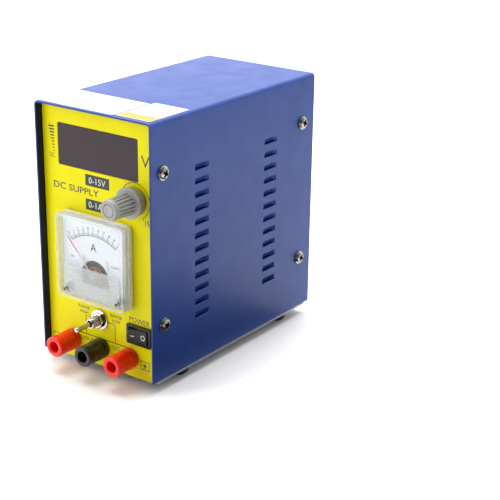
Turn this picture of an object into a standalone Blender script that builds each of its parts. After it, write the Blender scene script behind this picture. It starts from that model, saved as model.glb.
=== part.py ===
"""Bench power supply: a louvred cover over a folded chassis, with its controls, meter, posts and insides.

Frame: metres, +Z up, the front panel faces -Y and the width runs along X. The origin is at the centre
of the whole object's box, on the surface that the feet stand on.
"""
import math

import bmesh
import bpy
from mathutils import Matrix

MM = 0.001

# Driving dimensions of the case
COVER_WIDTH = 84 * MM
COVER_HEIGHT = 150 * MM
COVER_DEPTH = 156 * MM
COVER_SHEET = 1.2 * MM
COVER_BEND = 2.6 * MM
COVER_LIFT = 2.2 * MM  # the cover's lower edge stands this far above the chassis base
CHASSIS_SHEET = 1.0 * MM
CHASSIS_LIP = 9 * MM  # height of the base's upturned sides
FRONT_FLANGE = 12 * MM
REAR_FLANGE = 16 * MM
FRONT_RECESS = 4.8 * MM  # the panel's face stands this far behind the cover's front edge
REAR_RECESS = 3.0 * MM
OVERLAY_SHEET = 0.5 * MM
GAP = 0.3 * MM  # clearance between pieces that touch or seat on each other
RUNNING_GAP = 0.4 * MM  # clearance round a piece that moves

# Louvres, two columns on each side
LOUVRE_COUNT = 12
LOUVRE_LENGTH = 12.4 * MM
LOUVRE_HEIGHT = 3.3 * MM
LOUVRE_PITCH = 8.03 * MM
LOUVRE_LOWEST = 27.5 * MM  # above the cover's lower edge
LOUVRE_FRONT_INSET = 44.0 * MM  # centre of the front column, from the cover's front edge
LOUVRE_REAR_INSET = 45.8 * MM

# Cover screws, four on each side
SCREW_RADIUS = 1.7 * MM
SCREW_HEAD_RADIUS = 3.2 * MM
SCREW_HEAD_HEIGHT = 1.9 * MM
SCREW_WASHER_RADIUS = 4.1 * MM
SCREW_WASHER_HEIGHT = 0.7 * MM
SCREW_LENGTH = 7 * MM
SCREW_FRONT_INSET = 9.9 * MM
SCREW_REAR_INSET = 12.8 * MM
SCREW_LOW = 33.6 * MM  # above the cover's lower edge
SCREW_TOP_INSET = 28.7 * MM  # below the cover's top

# Feet
FOOT_HEIGHT = 5.0 * MM
FOOT_RADIUS = 6.5 * MM
FOOT_STEM_RADIUS = 2.2 * MM
FOOT_BARB = 0.8 * MM
FOOT_SIDE_INSET = 9.8 * MM  # from the cover's side
FOOT_FRONT_INSET = 33.5 * MM
FOOT_REAR_INSET = 23.0 * MM

# Display
WINDOW_WIDTH = 58 * MM
WINDOW_HEIGHT = 23.8 * MM
WINDOW_THICKNESS = 1.5 * MM
WINDOW_TOP_INSET = 11.5 * MM  # below the cover's top
WINDOW_LEDGE = 1.5 * MM
DISPLAY_WIDTH = 38 * MM
DISPLAY_HEIGHT = 19 * MM
DISPLAY_DEPTH = 8 * MM
BOARD_THICKNESS = 1.6 * MM

# Control knob and potentiometer
KNOB_SIDE_INSET = 13.9 * MM  # axis, from the cover's inner side
KNOB_UNDER_WINDOW = 10.8 * MM  # axis, below the window's lower edge
KNOB_REACH = 22 * MM  # knob's front, from the panel's face
KNOB_SKIRT_RADIUS = 8.9 * MM
KNOB_SKIRT_STANDOFF = 4.8 * MM
KNOB_HUB_RADIUS = 8.2 * MM
KNOB_HUB_STANDOFF = 1 * MM
KNOB_HOLLOW_RADIUS = 6.6 * MM  # round the nut, in the hub's back
KNOB_HOLLOW_DEPTH = 2.2 * MM
KNOB_SKIRT_THICKNESS = 1.6 * MM
KNOB_FRONT_RADIUS = 5.75 * MM
KNOB_REAR_RADIUS = 6.5 * MM
KNOB_CAP_RADIUS = 3.3 * MM
KNOB_CAP_THICKNESS = 1.2 * MM
KNOB_FLUTES = 18
KNOB_FLUTE_DEPTH = 0.6 * MM
KNOB_FRONT_BAND = 3 * MM  # plain length in front of the flutes
SHAFT_RADIUS = 3.0 * MM
SHAFT_GRIP = 11 * MM
POT_RADIUS = 8.2 * MM
POT_DEPTH = 9 * MM
POT_BUSH_RADIUS = 3.9 * MM
POT_BUSH_REACH = 2.6 * MM
POT_NUT_ACROSS = 10 * MM
POT_NUT_THICKNESS = 2 * MM

# Panel meter
METER_SIZE = 50 * MM
METER_SIDE_OFFSET = -0.5 * MM
METER_CENTRE_HEIGHT = 64.2 * MM  # above the cover's lower edge
METER_REACH = 8.8 * MM
METER_FLANGE = 2.8 * MM
METER_COVER_WALL = 1.4 * MM
METER_CORNER = 2.5 * MM
METER_BARREL_RADIUS = 22.5 * MM
METER_BARREL_WALL = 1.6 * MM
METER_BARREL_DEPTH = 26 * MM
METER_FLOOR = 2 * MM
METER_PIVOT_DROP = 9.2 * MM  # pivot, below the meter's centre
DIAL_THICKNESS = 0.5 * MM
DIAL_INSET = 0.5 * MM
DIAL_ARCH_RADIUS = 10.3 * MM
DIAL_ARCH_DROP = 1.5 * MM  # the arch's centre, below the pivot
DIAL_ARCH_FOOT = 6.5 * MM  # the cut-out's lower edge, below the pivot
MAGNET_RADIUS = 6.1 * MM
MAGNET_WALL = 2.2 * MM
MAGNET_DEPTH = 18 * MM
COIL_LENGTH = 15 * MM
COIL_SHAFT_RADIUS = 1.0 * MM
POINTER_LENGTH = 27.7 * MM
POINTER_TAIL = 3.2 * MM
POINTER_WIDTH = 0.7 * MM
POINTER_THICKNESS = 0.4 * MM
POINTER_HUB_RADIUS = 2.2 * MM
POINTER_BEHIND_GLASS = 1.2 * MM
METER_ZERO = 41.5  # degrees from upright, to the left
METER_SCREW_RADIUS = 1.7 * MM
METER_SCREW_SIDE_INSET = 5.5 * MM
METER_SCREW_RISE = 4.5 * MM

# Toggle switch
TOGGLE_SIDE_OFFSET = -1.2 * MM
TOGGLE_HEIGHT = 26.85 * MM  # above the cover's lower edge
TOGGLE_BUSH_RADIUS = 3.0 * MM
TOGGLE_BUSH_BORE = 2.1 * MM
TOGGLE_BUSH_REACH = 8.8 * MM
TOGGLE_WASHER_RADIUS = 6.1 * MM
TOGGLE_WASHER_THICKNESS = 0.8 * MM
TOGGLE_NUT_ACROSS = 8 * MM
TOGGLE_NUT_THICKNESS = 2.2 * MM
TOGGLE_LEVER_REACH = 20.4 * MM
TOGGLE_LEVER_RADIUS = 1.2 * MM
TOGGLE_TIP_RADIUS = 1.5 * MM
TOGGLE_PIVOT_DEPTH = 2.4 * MM  # behind the bush's front
TOGGLE_BODY_WIDTH = 7 * MM
TOGGLE_BODY_HEIGHT = 13 * MM
TOGGLE_BODY_DEPTH = 10 * MM

# Rocker switch
ROCKER_SIDE_INSET = 12 * MM  # centre, from the cover's inner side
ROCKER_HEIGHT = 24.95 * MM  # centre, above the cover's lower edge
BEZEL_WIDTH = 17.6 * MM
BEZEL_HEIGHT = 11.8 * MM
BEZEL_REACH = 1.6 * MM
ROCKER_WIDTH = 12.2 * MM
ROCKER_FACE_HEIGHT = 7.9 * MM
BEZEL_LIP = 0.8 * MM
ROCKER_HOUSING_DEPTH = 14 * MM
ROCKER_WELL_DEPTH = 8 * MM
ROCKER_TILT = 10  # degrees each side of level
ROCKER_PIVOT_DEPTH = 1.0 * MM  # behind the bezel's face
ROCKER_CORNER_REACH = 2.6 * MM
ROCKER_VALLEY_REACH = 1.3 * MM

# Binding posts
POST_PITCH = 21.9 * MM
POST_SIDE_OFFSET = -0.45 * MM
POST_HEIGHT = 9.4 * MM  # above the cover's lower edge
POST_REACH = 17 * MM
POST_RADIUS = 6.2 * MM
POST_WAIST_RADIUS = 5.8 * MM
POST_STUD_RADIUS = 3.0 * MM
POST_STUD_RECESS = 7 * MM
POST_SOCKET_RADIUS = 2.0 * MM
POST_SOCKET_DEPTH = 15 * MM
POST_COLLAR_REACH = 3.4 * MM
POST_SPIGOT_RADIUS = 4.2 * MM
POST_TAIL = 13 * MM
POST_NUT_ACROSS = 8 * MM
POST_NUT_THICKNESS = 3 * MM

# Mains inlet with its fuse drawer
INLET_WIDTH = 30.5 * MM
INLET_HEIGHT = 33.5 * MM
INLET_FLANGE = 3.0 * MM
INLET_BODY_WIDTH = 27 * MM
INLET_BODY_HEIGHT = 30 * MM
INLET_BODY_DEPTH = 22 * MM
INLET_CENTRE_TOP_INSET = 44 * MM  # below the cover's top
INLET_SIDE_OFFSET = 20 * MM
SOCKET_WIDTH = 24.2 * MM
SOCKET_HEIGHT = 16.4 * MM
SOCKET_CHAMFER = 4.5 * MM
SOCKET_DEPTH = 16 * MM
SOCKET_RISE = 5.2 * MM  # socket's centre above the inlet's centre
INLET_PIN_WIDTH = 2 * MM
INLET_PIN_HEIGHT = 4 * MM
INLET_PIN_LENGTH = 14.5 * MM
INLET_PIN_SPACING = 14 * MM
DRAWER_WIDTH = 20 * MM
DRAWER_HEIGHT = 6.8 * MM
DRAWER_DEPTH = 17 * MM
DRAWER_DROP = 9.8 * MM  # drawer's centre below the inlet's centre

# Insides
CORE_WIDTH = 66 * MM
CORE_HEIGHT = 55 * MM
CORE_STACK = 24 * MM
CORE_LEG = 22 * MM
CORE_WINDOW_HEIGHT = 33 * MM
BOBBIN_BULGE = 9 * MM
CORE_REAR_INSET = 24 * MM  # from the rear wall
MAIN_BOARD_SIDE_GAP = 4 * MM
MAIN_BOARD_FRONT_INSET = 32 * MM  # from the front wall
MAIN_BOARD_REAR_GAP = 4 * MM
STANDOFF_HEIGHT = 5 * MM
STANDOFF_RADIUS = 3 * MM
STANDOFF_INSET = 5 * MM
CAPACITOR_RADIUS = 11 * MM
CAPACITOR_HEIGHT = 28 * MM
HEATSINK_WIDTH = 34 * MM
HEATSINK_HEIGHT = 38 * MM
HEATSINK_BASE = 3 * MM
HEATSINK_FIN = 9 * MM
HEATSINK_FINS = 6
HEATSINK_FIN_THICKNESS = 1.5 * MM
TRANSISTOR_WIDTH = 15.5 * MM
TRANSISTOR_HEIGHT = 20 * MM
TRANSISTOR_THICKNESS = 5 * MM

# Paper labels on the top
LABEL_THICKNESS = 0.2 * MM
# Each label: left, right, then front and rear from the front edge
WHITE_LABEL = (-40.4 * MM, 14.6 * MM, 1.6 * MM, 33 * MM)
BANDED_LABEL = (15.4 * MM, 39.2 * MM, 3 * MM, 36.5 * MM)

# Places that follow from the dimensions
FRONT_REACH = KNOB_REACH - FRONT_RECESS
REAR_REACH = INLET_FLANGE + GAP - REAR_RECESS
FRONT_EDGE = FRONT_REACH - (COVER_DEPTH + FRONT_REACH + REAR_REACH) / 2
REAR_EDGE = FRONT_EDGE + COVER_DEPTH
PANEL = FRONT_EDGE + FRONT_RECESS
FRONT_WALL = PANEL + OVERLAY_SHEET + GAP
FRONT_WALL_BACK = FRONT_WALL + CHASSIS_SHEET
REAR_WALL_BACK = REAR_EDGE - REAR_RECESS
REAR_WALL = REAR_WALL_BACK - CHASSIS_SHEET
BASE = FOOT_HEIGHT
BASE_TOP = BASE + CHASSIS_SHEET
COVER_FOOT = FOOT_HEIGHT + COVER_LIFT
TOP = COVER_FOOT + COVER_HEIGHT
INNER_SIDE = COVER_WIDTH / 2 - COVER_SHEET
CHASSIS_SIDE = INNER_SIDE - GAP
CHASSIS_TOP = TOP - COVER_SHEET - GAP
WINDOW_Z = TOP - WINDOW_TOP_INSET - WINDOW_HEIGHT / 2
KNOB_X = INNER_SIDE - KNOB_SIDE_INSET
KNOB_Z = WINDOW_Z - WINDOW_HEIGHT / 2 - KNOB_UNDER_WINDOW
METER_X = METER_SIDE_OFFSET
METER_Z = COVER_FOOT + METER_CENTRE_HEIGHT
METER_PIVOT_Z = METER_Z - METER_PIVOT_DROP
DIAL_FACE = PANEL - METER_FLANGE - 2 * GAP - DIAL_THICKNESS
POINTER_Y = PANEL - METER_REACH + METER_COVER_WALL + POINTER_BEHIND_GLASS
TOGGLE_X = TOGGLE_SIDE_OFFSET
TOGGLE_Z = COVER_FOOT + TOGGLE_HEIGHT
ROCKER_X = INNER_SIDE - ROCKER_SIDE_INSET
ROCKER_Z = COVER_FOOT + ROCKER_HEIGHT
POST_Z = COVER_FOOT + POST_HEIGHT
INLET_Z = TOP - INLET_CENTRE_TOP_INSET
BOARD_Z = BASE_TOP + STANDOFF_HEIGHT + GAP

# Directions that a turned or extruded piece can face
FACE_FRONT = Matrix.Rotation(math.pi / 2, 4, "X")
FACE_REAR = Matrix.Rotation(-math.pi / 2, 4, "X")
FACE_RIGHT = Matrix.Rotation(math.pi / 2, 4, "Y")
FACE_LEFT = Matrix.Rotation(-math.pi / 2, 4, "Y")
FACE_UP = Matrix.Identity(4)


def start_scene():
    """An empty scene with one collection for the parts and one for the cutters."""
    for old in list(bpy.data.objects):
        bpy.data.objects.remove(old)
    parts = bpy.data.collections.new("bench_power_supply")
    cutters = bpy.data.collections.new("cutters")
    bpy.context.scene.collection.children.link(parts)
    bpy.context.scene.collection.children.link(cutters)
    return parts, cutters


PARTS, CUTTERS = start_scene()


def material(name, colour, roughness, metallic=0.0):
    made = bpy.data.materials.new(name)
    made.use_nodes = True
    shader = made.node_tree.nodes["Principled BSDF"]
    shader.inputs["Base Color"].default_value = (*colour, 1)
    shader.inputs["Roughness"].default_value = roughness
    shader.inputs["Metallic"].default_value = metallic
    return made


BLUE_PAINT = material("blue_powder_coat", (0.06, 0.10, 0.32), 0.45)
YELLOW_FILM = material("yellow_film", (0.85, 0.75, 0.0), 0.4)
ZINC_STEEL = material("zinc_plated_steel", (0.6, 0.6, 0.58), 0.4, 1.0)
SCREW_STEEL = material("nickel_plated_steel", (0.7, 0.7, 0.7), 0.25, 1.0)
CHROME = material("chrome", (0.8, 0.8, 0.8), 0.1, 1.0)
BLACK_PLASTIC = material("black_plastic", (0.015, 0.015, 0.015), 0.4)
RED_PLASTIC = material("red_plastic", (0.75, 0.03, 0.01), 0.35)
GREY_PLASTIC = material("grey_plastic", (0.38, 0.38, 0.37), 0.5)
LIGHT_GREY_PLASTIC = material("light_grey_plastic", (0.55, 0.55, 0.54), 0.45)
CLEAR_PLASTIC = material("clear_acrylic", (0.9, 0.9, 0.9), 0.05)
WINDOW_PLASTIC = material("smoked_red_acrylic", (0.05, 0.03, 0.035), 0.1)
WHITE_PLASTIC = material("white_plastic", (0.8, 0.8, 0.78), 0.5)
DIAL_WHITE = material("white_enamel", (0.85, 0.85, 0.83), 0.5)
MAGNET_STEEL = material("dark_steel", (0.12, 0.12, 0.12), 0.5, 1.0)
COPPER = material("copper_coil", (0.6, 0.25, 0.1), 0.4, 1.0)
RED_PAINT = material("red_paint", (0.7, 0.02, 0.02), 0.5)
RUBBER = material("black_rubber", (0.01, 0.01, 0.01), 0.8)
BOARD_GREEN = material("circuit_board", (0.02, 0.15, 0.06), 0.5)
CORE_STEEL = material("laminated_steel", (0.25, 0.24, 0.22), 0.5, 1.0)
WINDING_TAPE = material("winding_tape", (0.7, 0.5, 0.1), 0.5)
ALUMINIUM = material("aluminium", (0.55, 0.55, 0.56), 0.4, 1.0)
BRASS = material("nickel_plated_brass", (0.65, 0.6, 0.5), 0.3, 1.0)
PAPER = material("label_paper", (0.85, 0.85, 0.82), 0.8)


def place(name, mesh, where=(0, 0, 0), turn=FACE_UP, finish=None):
    """A part, or with no finish a cutter, from a mesh, turned and then moved to where."""
    made = bpy.data.objects.new(name, mesh)
    made.matrix_world = Matrix.Translation(where) @ turn
    if finish is None:
        CUTTERS.objects.link(made)
        made.hide_render = True
        made.display_type = "WIRE"
    else:
        PARTS.objects.link(made)
        mesh.materials.clear()
        mesh.materials.append(finish)
    return made


def combine(piece, other, operation):
    modifier = piece.modifiers.new(operation.lower(), "BOOLEAN")
    modifier.object = other
    modifier.operation = operation
    modifier.solver = "EXACT"


def mesh_of(work, name):
    mesh = bpy.data.meshes.new(name)
    bmesh.ops.recalc_face_normals(work, faces=work.faces)
    work.to_mesh(mesh)
    work.free()
    return mesh


def boxes(name, *corners):
    """One mesh of boxes, each given as its low and high corner."""
    work = bmesh.new()
    for low, high in corners:
        size = Matrix.Diagonal([(h - l) for l, h in zip(low, high)] + [1])
        centre = Matrix.Translation([(h + l) / 2 for l, h in zip(low, high)])
        bmesh.ops.create_cube(work, size=1, matrix=centre @ size)
    return mesh_of(work, name)


def rods(name, radius, length, steps, *centres, turn=FACE_UP):
    """One mesh of cylinders, each centred on its place and along the turned Z."""
    work = bmesh.new()
    for centre in centres:
        bmesh.ops.create_cone(
            work, cap_ends=True, segments=steps, radius1=radius, radius2=radius,
            depth=length, matrix=Matrix.Translation(centre) @ turn,
        )
    return mesh_of(work, name)


def prism(name, outline, low, high, axis="Y"):
    """The outline raised from low to high along the axis.

    It is read as x, z for an axis of Y, as y, z for X and as x, y for Z.
    """
    seats = {
        "X": lambda u, v, w: (w, u, v),
        "Y": lambda u, v, w: (u, w, v),
        "Z": lambda u, v, w: (u, v, w),
    }
    seat = seats[axis]
    work = bmesh.new()
    rim = [work.verts.new(seat(u, v, low)) for u, v in outline]
    face = work.faces.new(rim)
    raised = bmesh.ops.extrude_face_region(work, geom=[face])["geom"]
    moved = [item for item in raised if isinstance(item, bmesh.types.BMVert)]
    bmesh.ops.translate(work, verts=moved, vec=seat(0, 0, high - low))
    return mesh_of(work, name)


def rounded(centre_u, centre_v, width, height, radius, steps=4):
    """A rectangle's outline with round corners."""
    points = []
    corners = ((1, 1, 0), (-1, 1, 90), (-1, -1, 180), (1, -1, 270))
    for side, rise, start in corners:
        hub_u = centre_u + side * (width / 2 - radius)
        hub_v = centre_v + rise * (height / 2 - radius)
        for step in range(steps + 1):
            angle = math.radians(start + 90 * step / steps)
            points.append((hub_u + radius * math.cos(angle), hub_v + radius * math.sin(angle)))
    return points


def arc(centre_u, centre_v, radius, start, end, steps):
    """Points on an arc, angles in degrees."""
    points = []
    for step in range(steps + 1):
        angle = math.radians(start + (end - start) * step / steps)
        points.append((centre_u + radius * math.cos(angle), centre_v + radius * math.sin(angle)))
    return points


def turned(name, profile, where, turn, finish, steps=24, ring=False):
    """A profile of radius and height turned about Z, then faced and placed. A ring's profile is closed."""
    mesh = bpy.data.meshes.new(name)
    edges = [(i, i + 1) for i in range(len(profile) - 1)]
    if ring:
        edges.append((len(profile) - 1, 0))
    mesh.from_pydata([(radius, 0, height) for radius, height in profile], edges, [])
    made = place(name, mesh, where, turn, finish)
    screw = made.modifiers.new("turn", "SCREW")
    screw.axis = "Z"
    screw.angle = 2 * math.pi
    screw.steps = steps
    screw.render_steps = steps
    screw.use_merge_vertices = True
    screw.merge_threshold = 0.00001
    screw.use_smooth_shade = True
    return made


def hexagon(across, turned_by=0):
    """The outline of a hexagon, given its size across flats."""
    radius = across / math.sqrt(3)
    return arc(0, 0, radius, turned_by, turned_by + 300, 5)


def nut(name, across, bore, thickness, where, turn, finish):
    made = place(name, prism(name, hexagon(across), 0, thickness, "Z"), where, turn, finish)
    hole = rods(name + "_hole", bore, 3 * thickness, 20, (0, 0, thickness / 2))
    combine(made, place(name + "_cutter", hole, where, turn), "DIFFERENCE")
    return made


def louvre_places():
    """The low front corner of every louvre's slot, as y and z."""
    columns = (FRONT_EDGE + LOUVRE_FRONT_INSET, REAR_EDGE - LOUVRE_REAR_INSET)
    return [
        (column - LOUVRE_LENGTH / 2, COVER_FOOT + LOUVRE_LOWEST + row * LOUVRE_PITCH)
        for column in columns
        for row in range(LOUVRE_COUNT)
    ]


def screw_places():
    """Name, y and z of the four screws of one side."""
    lines = {"front": FRONT_EDGE + SCREW_FRONT_INSET, "rear": REAR_EDGE - SCREW_REAR_INSET}
    rows = {"low": COVER_FOOT + SCREW_LOW, "high": TOP - SCREW_TOP_INSET}
    return [(f"{line}_{row}", lines[line], rows[row]) for line in lines for row in rows]


def joined(name, meshes):
    """One mesh that holds all the given ones, which stay apart."""
    work = bmesh.new()
    for mesh in meshes:
        work.from_mesh(mesh)
    return mesh_of(work, name)


def build_cover():
    """Folded sheet: two sides and a top, with the louvres' slots and screw holes."""
    half = COVER_WIDTH / 2
    hub_x = half - COVER_BEND
    hub_z = TOP - COVER_BEND
    inner_bend = COVER_BEND - COVER_SHEET
    outer = [(half, COVER_FOOT)]
    outer += arc(hub_x, hub_z, COVER_BEND, 0, 90, 5)
    outer += arc(-hub_x, hub_z, COVER_BEND, 90, 180, 5)
    outer += [(-half, COVER_FOOT)]
    inner = [(-half + COVER_SHEET, COVER_FOOT)]
    inner += arc(-hub_x, hub_z, inner_bend, 180, 90, 4)
    inner += arc(hub_x, hub_z, inner_bend, 90, 0, 4)
    inner += [(half - COVER_SHEET, COVER_FOOT)]
    cover = place("cover", prism("cover", outer + inner, FRONT_EDGE, REAR_EDGE), finish=BLUE_PAINT)

    slots = []
    for side in (-1, 1):
        wall = side * half
        for front, low in louvre_places():
            ends = (wall - side * 2 * COVER_SHEET, wall + side * COVER_SHEET)
            slots.append((
                (min(ends), front, low),
                (max(ends), front + LOUVRE_LENGTH, low + LOUVRE_HEIGHT),
            ))
    holes = [(side * half, y, z) for side in (-1, 1) for _, y, z in screw_places()]
    hole_mesh = rods("cover_holes", SCREW_RADIUS + GAP, 4 * COVER_SHEET, 12, *holes, turn=FACE_RIGHT)
    cuts = joined("cover_cuts", [boxes("slots", *slots), hole_mesh])
    combine(cover, place("cover_cutter", cuts), "DIFFERENCE")


def panel_hole(name, outline, front, back):
    """A cutter through the overlay, the front wall, or both."""
    return prism(name, outline, front - 2 * OVERLAY_SHEET, back + 2 * OVERLAY_SHEET)


def front_openings(back, clearance):
    """The cut-outs that the overlay and the front wall share, grown by the clearance."""
    front = PANEL
    bush = POT_BUSH_RADIUS + clearance
    toggle = TOGGLE_BUSH_RADIUS + clearance
    barrel = METER_BARREL_RADIUS + clearance
    spigot = POST_SPIGOT_RADIUS + clearance
    housing_width = BEZEL_WIDTH - 2 * BEZEL_LIP + 2 * clearance
    housing_height = BEZEL_HEIGHT - 2 * BEZEL_LIP + 2 * clearance
    cuts = [
        panel_hole("knob_hole", arc(KNOB_X, KNOB_Z, bush, 0, 345, 23), front, back),
        panel_hole("meter_hole", arc(METER_X, METER_Z, barrel, 0, 352.5, 47), front, back),
        panel_hole("toggle_hole", arc(TOGGLE_X, TOGGLE_Z, toggle, 0, 342, 19), front, back),
        panel_hole(
            "rocker_hole",
            rounded(ROCKER_X, ROCKER_Z, housing_width, housing_height, 0.5 * MM, 2),
            front, back,
        ),
    ]
    for _, x in post_places():
        cuts.append(panel_hole("post_hole", arc(x, POST_Z, spigot, 0, 342, 19), front, back))
    return cuts


def post_places():
    return [
        ("left", POST_SIDE_OFFSET - POST_PITCH),
        ("middle", POST_SIDE_OFFSET),
        ("right", POST_SIDE_OFFSET + POST_PITCH),
    ]


def foot_places():
    side = COVER_WIDTH / 2 - FOOT_SIDE_INSET
    front = FRONT_EDGE + FOOT_FRONT_INSET
    rear = REAR_EDGE - FOOT_REAR_INSET
    return [
        ("front_left", -side, front),
        ("front_right", side, front),
        ("rear_left", -side, rear),
        ("rear_right", side, rear),
    ]


def main_board_span():
    """Front and rear end of the main board, between the front parts and the transformer."""
    core_front = REAR_WALL - CORE_REAR_INSET - CORE_STACK - BOBBIN_BULGE
    return FRONT_WALL_BACK + MAIN_BOARD_FRONT_INSET, core_front - MAIN_BOARD_REAR_GAP


def standoff_places():
    front, rear = main_board_span()
    side = CHASSIS_SIDE - CHASSIS_SHEET - MAIN_BOARD_SIDE_GAP - STANDOFF_INSET
    return [(x, y) for x in (-side, side) for y in (front + STANDOFF_INSET, rear - STANDOFF_INSET)]


def build_chassis():
    """Folded sheet: front wall, base and rear wall, with lips on the base and flanges on the walls."""
    sheet = CHASSIS_SHEET
    side = CHASSIS_SIDE
    outline = [
        (FRONT_WALL, BASE), (REAR_WALL_BACK, BASE),
        (REAR_WALL_BACK, CHASSIS_TOP), (REAR_WALL, CHASSIS_TOP),
        (REAR_WALL, BASE_TOP), (FRONT_WALL_BACK, BASE_TOP),
        (FRONT_WALL_BACK, CHASSIS_TOP), (FRONT_WALL, CHASSIS_TOP),
    ]
    chassis = place("chassis", prism("chassis", outline, -side, side, "X"), finish=ZINC_STEEL)
    folds = []
    bite = sheet / 2
    flange_low = BASE + CHASSIS_LIP + 2 * sheet
    flange_high = CHASSIS_TOP - 2 * sheet
    for sign in (-1, 1):
        low_x, high_x = sorted((sign * (side - sheet), sign * (side - 0.02 * sheet)))
        folds.append((
            (low_x, FRONT_WALL_BACK + sheet, BASE + bite),
            (high_x, REAR_WALL - sheet, BASE + CHASSIS_LIP),
        ))
        folds.append((
            (low_x, FRONT_WALL + bite, flange_low),
            (high_x, FRONT_WALL + FRONT_FLANGE, flange_high),
        ))
        folds.append((
            (low_x, REAR_WALL_BACK - REAR_FLANGE, flange_low),
            (high_x, REAR_WALL_BACK - bite, flange_high),
        ))
    combine(chassis, place("chassis_folds", boxes("chassis_folds", *folds)), "UNION")
    studs = [(x, y, BASE_TOP + STANDOFF_HEIGHT / 2 - bite) for x, y in standoff_places()]
    stud_mesh = rods("standoffs", STANDOFF_RADIUS, STANDOFF_HEIGHT + sheet, 12, *studs)
    combine(chassis, place("standoff_shapes", stud_mesh), "UNION")

    cuts = front_openings(FRONT_WALL_BACK, GAP)
    cuts.append(panel_hole(
        "window_hole",
        rounded(0, WINDOW_Z, WINDOW_WIDTH - 2 * WINDOW_LEDGE, WINDOW_HEIGHT - 2 * WINDOW_LEDGE, MM, 2),
        FRONT_WALL, FRONT_WALL_BACK,
    ))
    inlet = rounded(
        INLET_SIDE_OFFSET, INLET_Z, INLET_BODY_WIDTH + 2 * GAP, INLET_BODY_HEIGHT + 2 * GAP, MM, 2
    )
    cuts.append(prism("inlet_hole", inlet, REAR_WALL - sheet, REAR_WALL_BACK + sheet))
    holes = [(sign * side, y, z) for sign in (-1, 1) for _, y, z in screw_places()]
    cuts.append(rods("flange_holes", SCREW_RADIUS + GAP, 5 * sheet, 12, *holes, turn=FACE_RIGHT))
    feet = [(x, y, BASE) for _, x, y in foot_places()]
    cuts.append(rods("foot_holes", FOOT_STEM_RADIUS + GAP, 5 * sheet, 16, *feet))
    notches = []
    for wall in (FRONT_WALL, REAR_WALL):
        low_y = wall - sheet
        high_y = wall + 2 * sheet
        for low_x, high_x in ((-side - MM, -side + COVER_BEND), (side - COVER_BEND, side + MM)):
            notches.append(((low_x, low_y, CHASSIS_TOP - COVER_BEND), (high_x, high_y, CHASSIS_TOP + MM)))
    cuts.append(boxes("corner_notches", *notches))
    combine(chassis, place("chassis_cutter", joined("chassis_cuts", cuts)), "DIFFERENCE")


def build_overlay():
    """Printed film over the front wall."""
    centre = (BASE + CHASSIS_TOP) / 2
    outline = rounded(0, centre, 2 * CHASSIS_SIDE, CHASSIS_TOP - BASE, COVER_BEND, 3)
    mesh = prism("front_overlay", outline, PANEL, PANEL + OVERLAY_SHEET)
    overlay = place("front_overlay", mesh, finish=YELLOW_FILM)
    cuts = front_openings(PANEL + OVERLAY_SHEET, GAP)
    window = rounded(0, WINDOW_Z, WINDOW_WIDTH + 2 * GAP, WINDOW_HEIGHT + 2 * GAP, MM, 2)
    cuts.append(panel_hole("window_hole", window, PANEL, PANEL + OVERLAY_SHEET))
    combine(overlay, place("overlay_cutter", joined("overlay_cuts", cuts)), "DIFFERENCE")


def build_feet():
    """Moulded rubber feet with a barbed stem that snaps through the base."""
    top = BASE - GAP
    stem = FOOT_STEM_RADIUS
    grip = BASE_TOP + GAP
    profile = [
        (0, grip + 2.4 * MM), (stem * 0.5, grip + 2.4 * MM), (stem + FOOT_BARB, grip + 0.6 * MM),
        (stem + FOOT_BARB, grip), (stem, grip), (stem, top),
        (FOOT_RADIUS - 0.6 * MM, top), (FOOT_RADIUS, top - 0.8 * MM),
        (FOOT_RADIUS - 0.3 * MM, 1.2 * MM), (FOOT_RADIUS - 1.4 * MM, 0), (0, 0),
    ]
    for name, x, y in foot_places():
        turned(f"foot_{name}", profile, (x, y, 0), FACE_UP, RUBBER, 16)


def build_cover_screws():
    """Pan-head screws with a washer face and a cross slot."""
    washer = SCREW_WASHER_HEIGHT + GAP
    head = washer + SCREW_HEAD_HEIGHT
    rim = SCREW_HEAD_RADIUS
    profile = [
        (0, head), (0.55 * rim, head - 0.1 * SCREW_HEAD_HEIGHT),
        (0.9 * rim, head - 0.45 * SCREW_HEAD_HEIGHT),
        (rim, washer), (SCREW_WASHER_RADIUS, washer), (SCREW_WASHER_RADIUS, GAP),
        (SCREW_RADIUS, GAP), (SCREW_RADIUS, GAP - SCREW_LENGTH), (0, GAP - SCREW_LENGTH),
    ]
    arm = 0.6 * rim
    blade = 0.16 * rim
    cross = [
        (blade, blade), (blade, arm), (-blade, arm), (-blade, blade), (-arm, blade), (-arm, -blade),
        (-blade, -blade), (-blade, -arm), (blade, -arm), (blade, -blade), (arm, -blade), (arm, blade),
    ]
    slot_floor = head - 0.6 * SCREW_HEAD_HEIGHT
    for side, sign, turn in (("left", -1, FACE_LEFT), ("right", 1, FACE_RIGHT)):
        for place_name, y, z in screw_places():
            name = f"cover_screw_{side}_{place_name}"
            where = (sign * COVER_WIDTH / 2, y, z)
            screw = turned(name, profile, where, turn, SCREW_STEEL, 12)
            slot = prism(name + "_slot", cross, slot_floor, head + MM, "Z")
            combine(screw, place(name + "_cutter", slot, where, turn), "DIFFERENCE")


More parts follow.
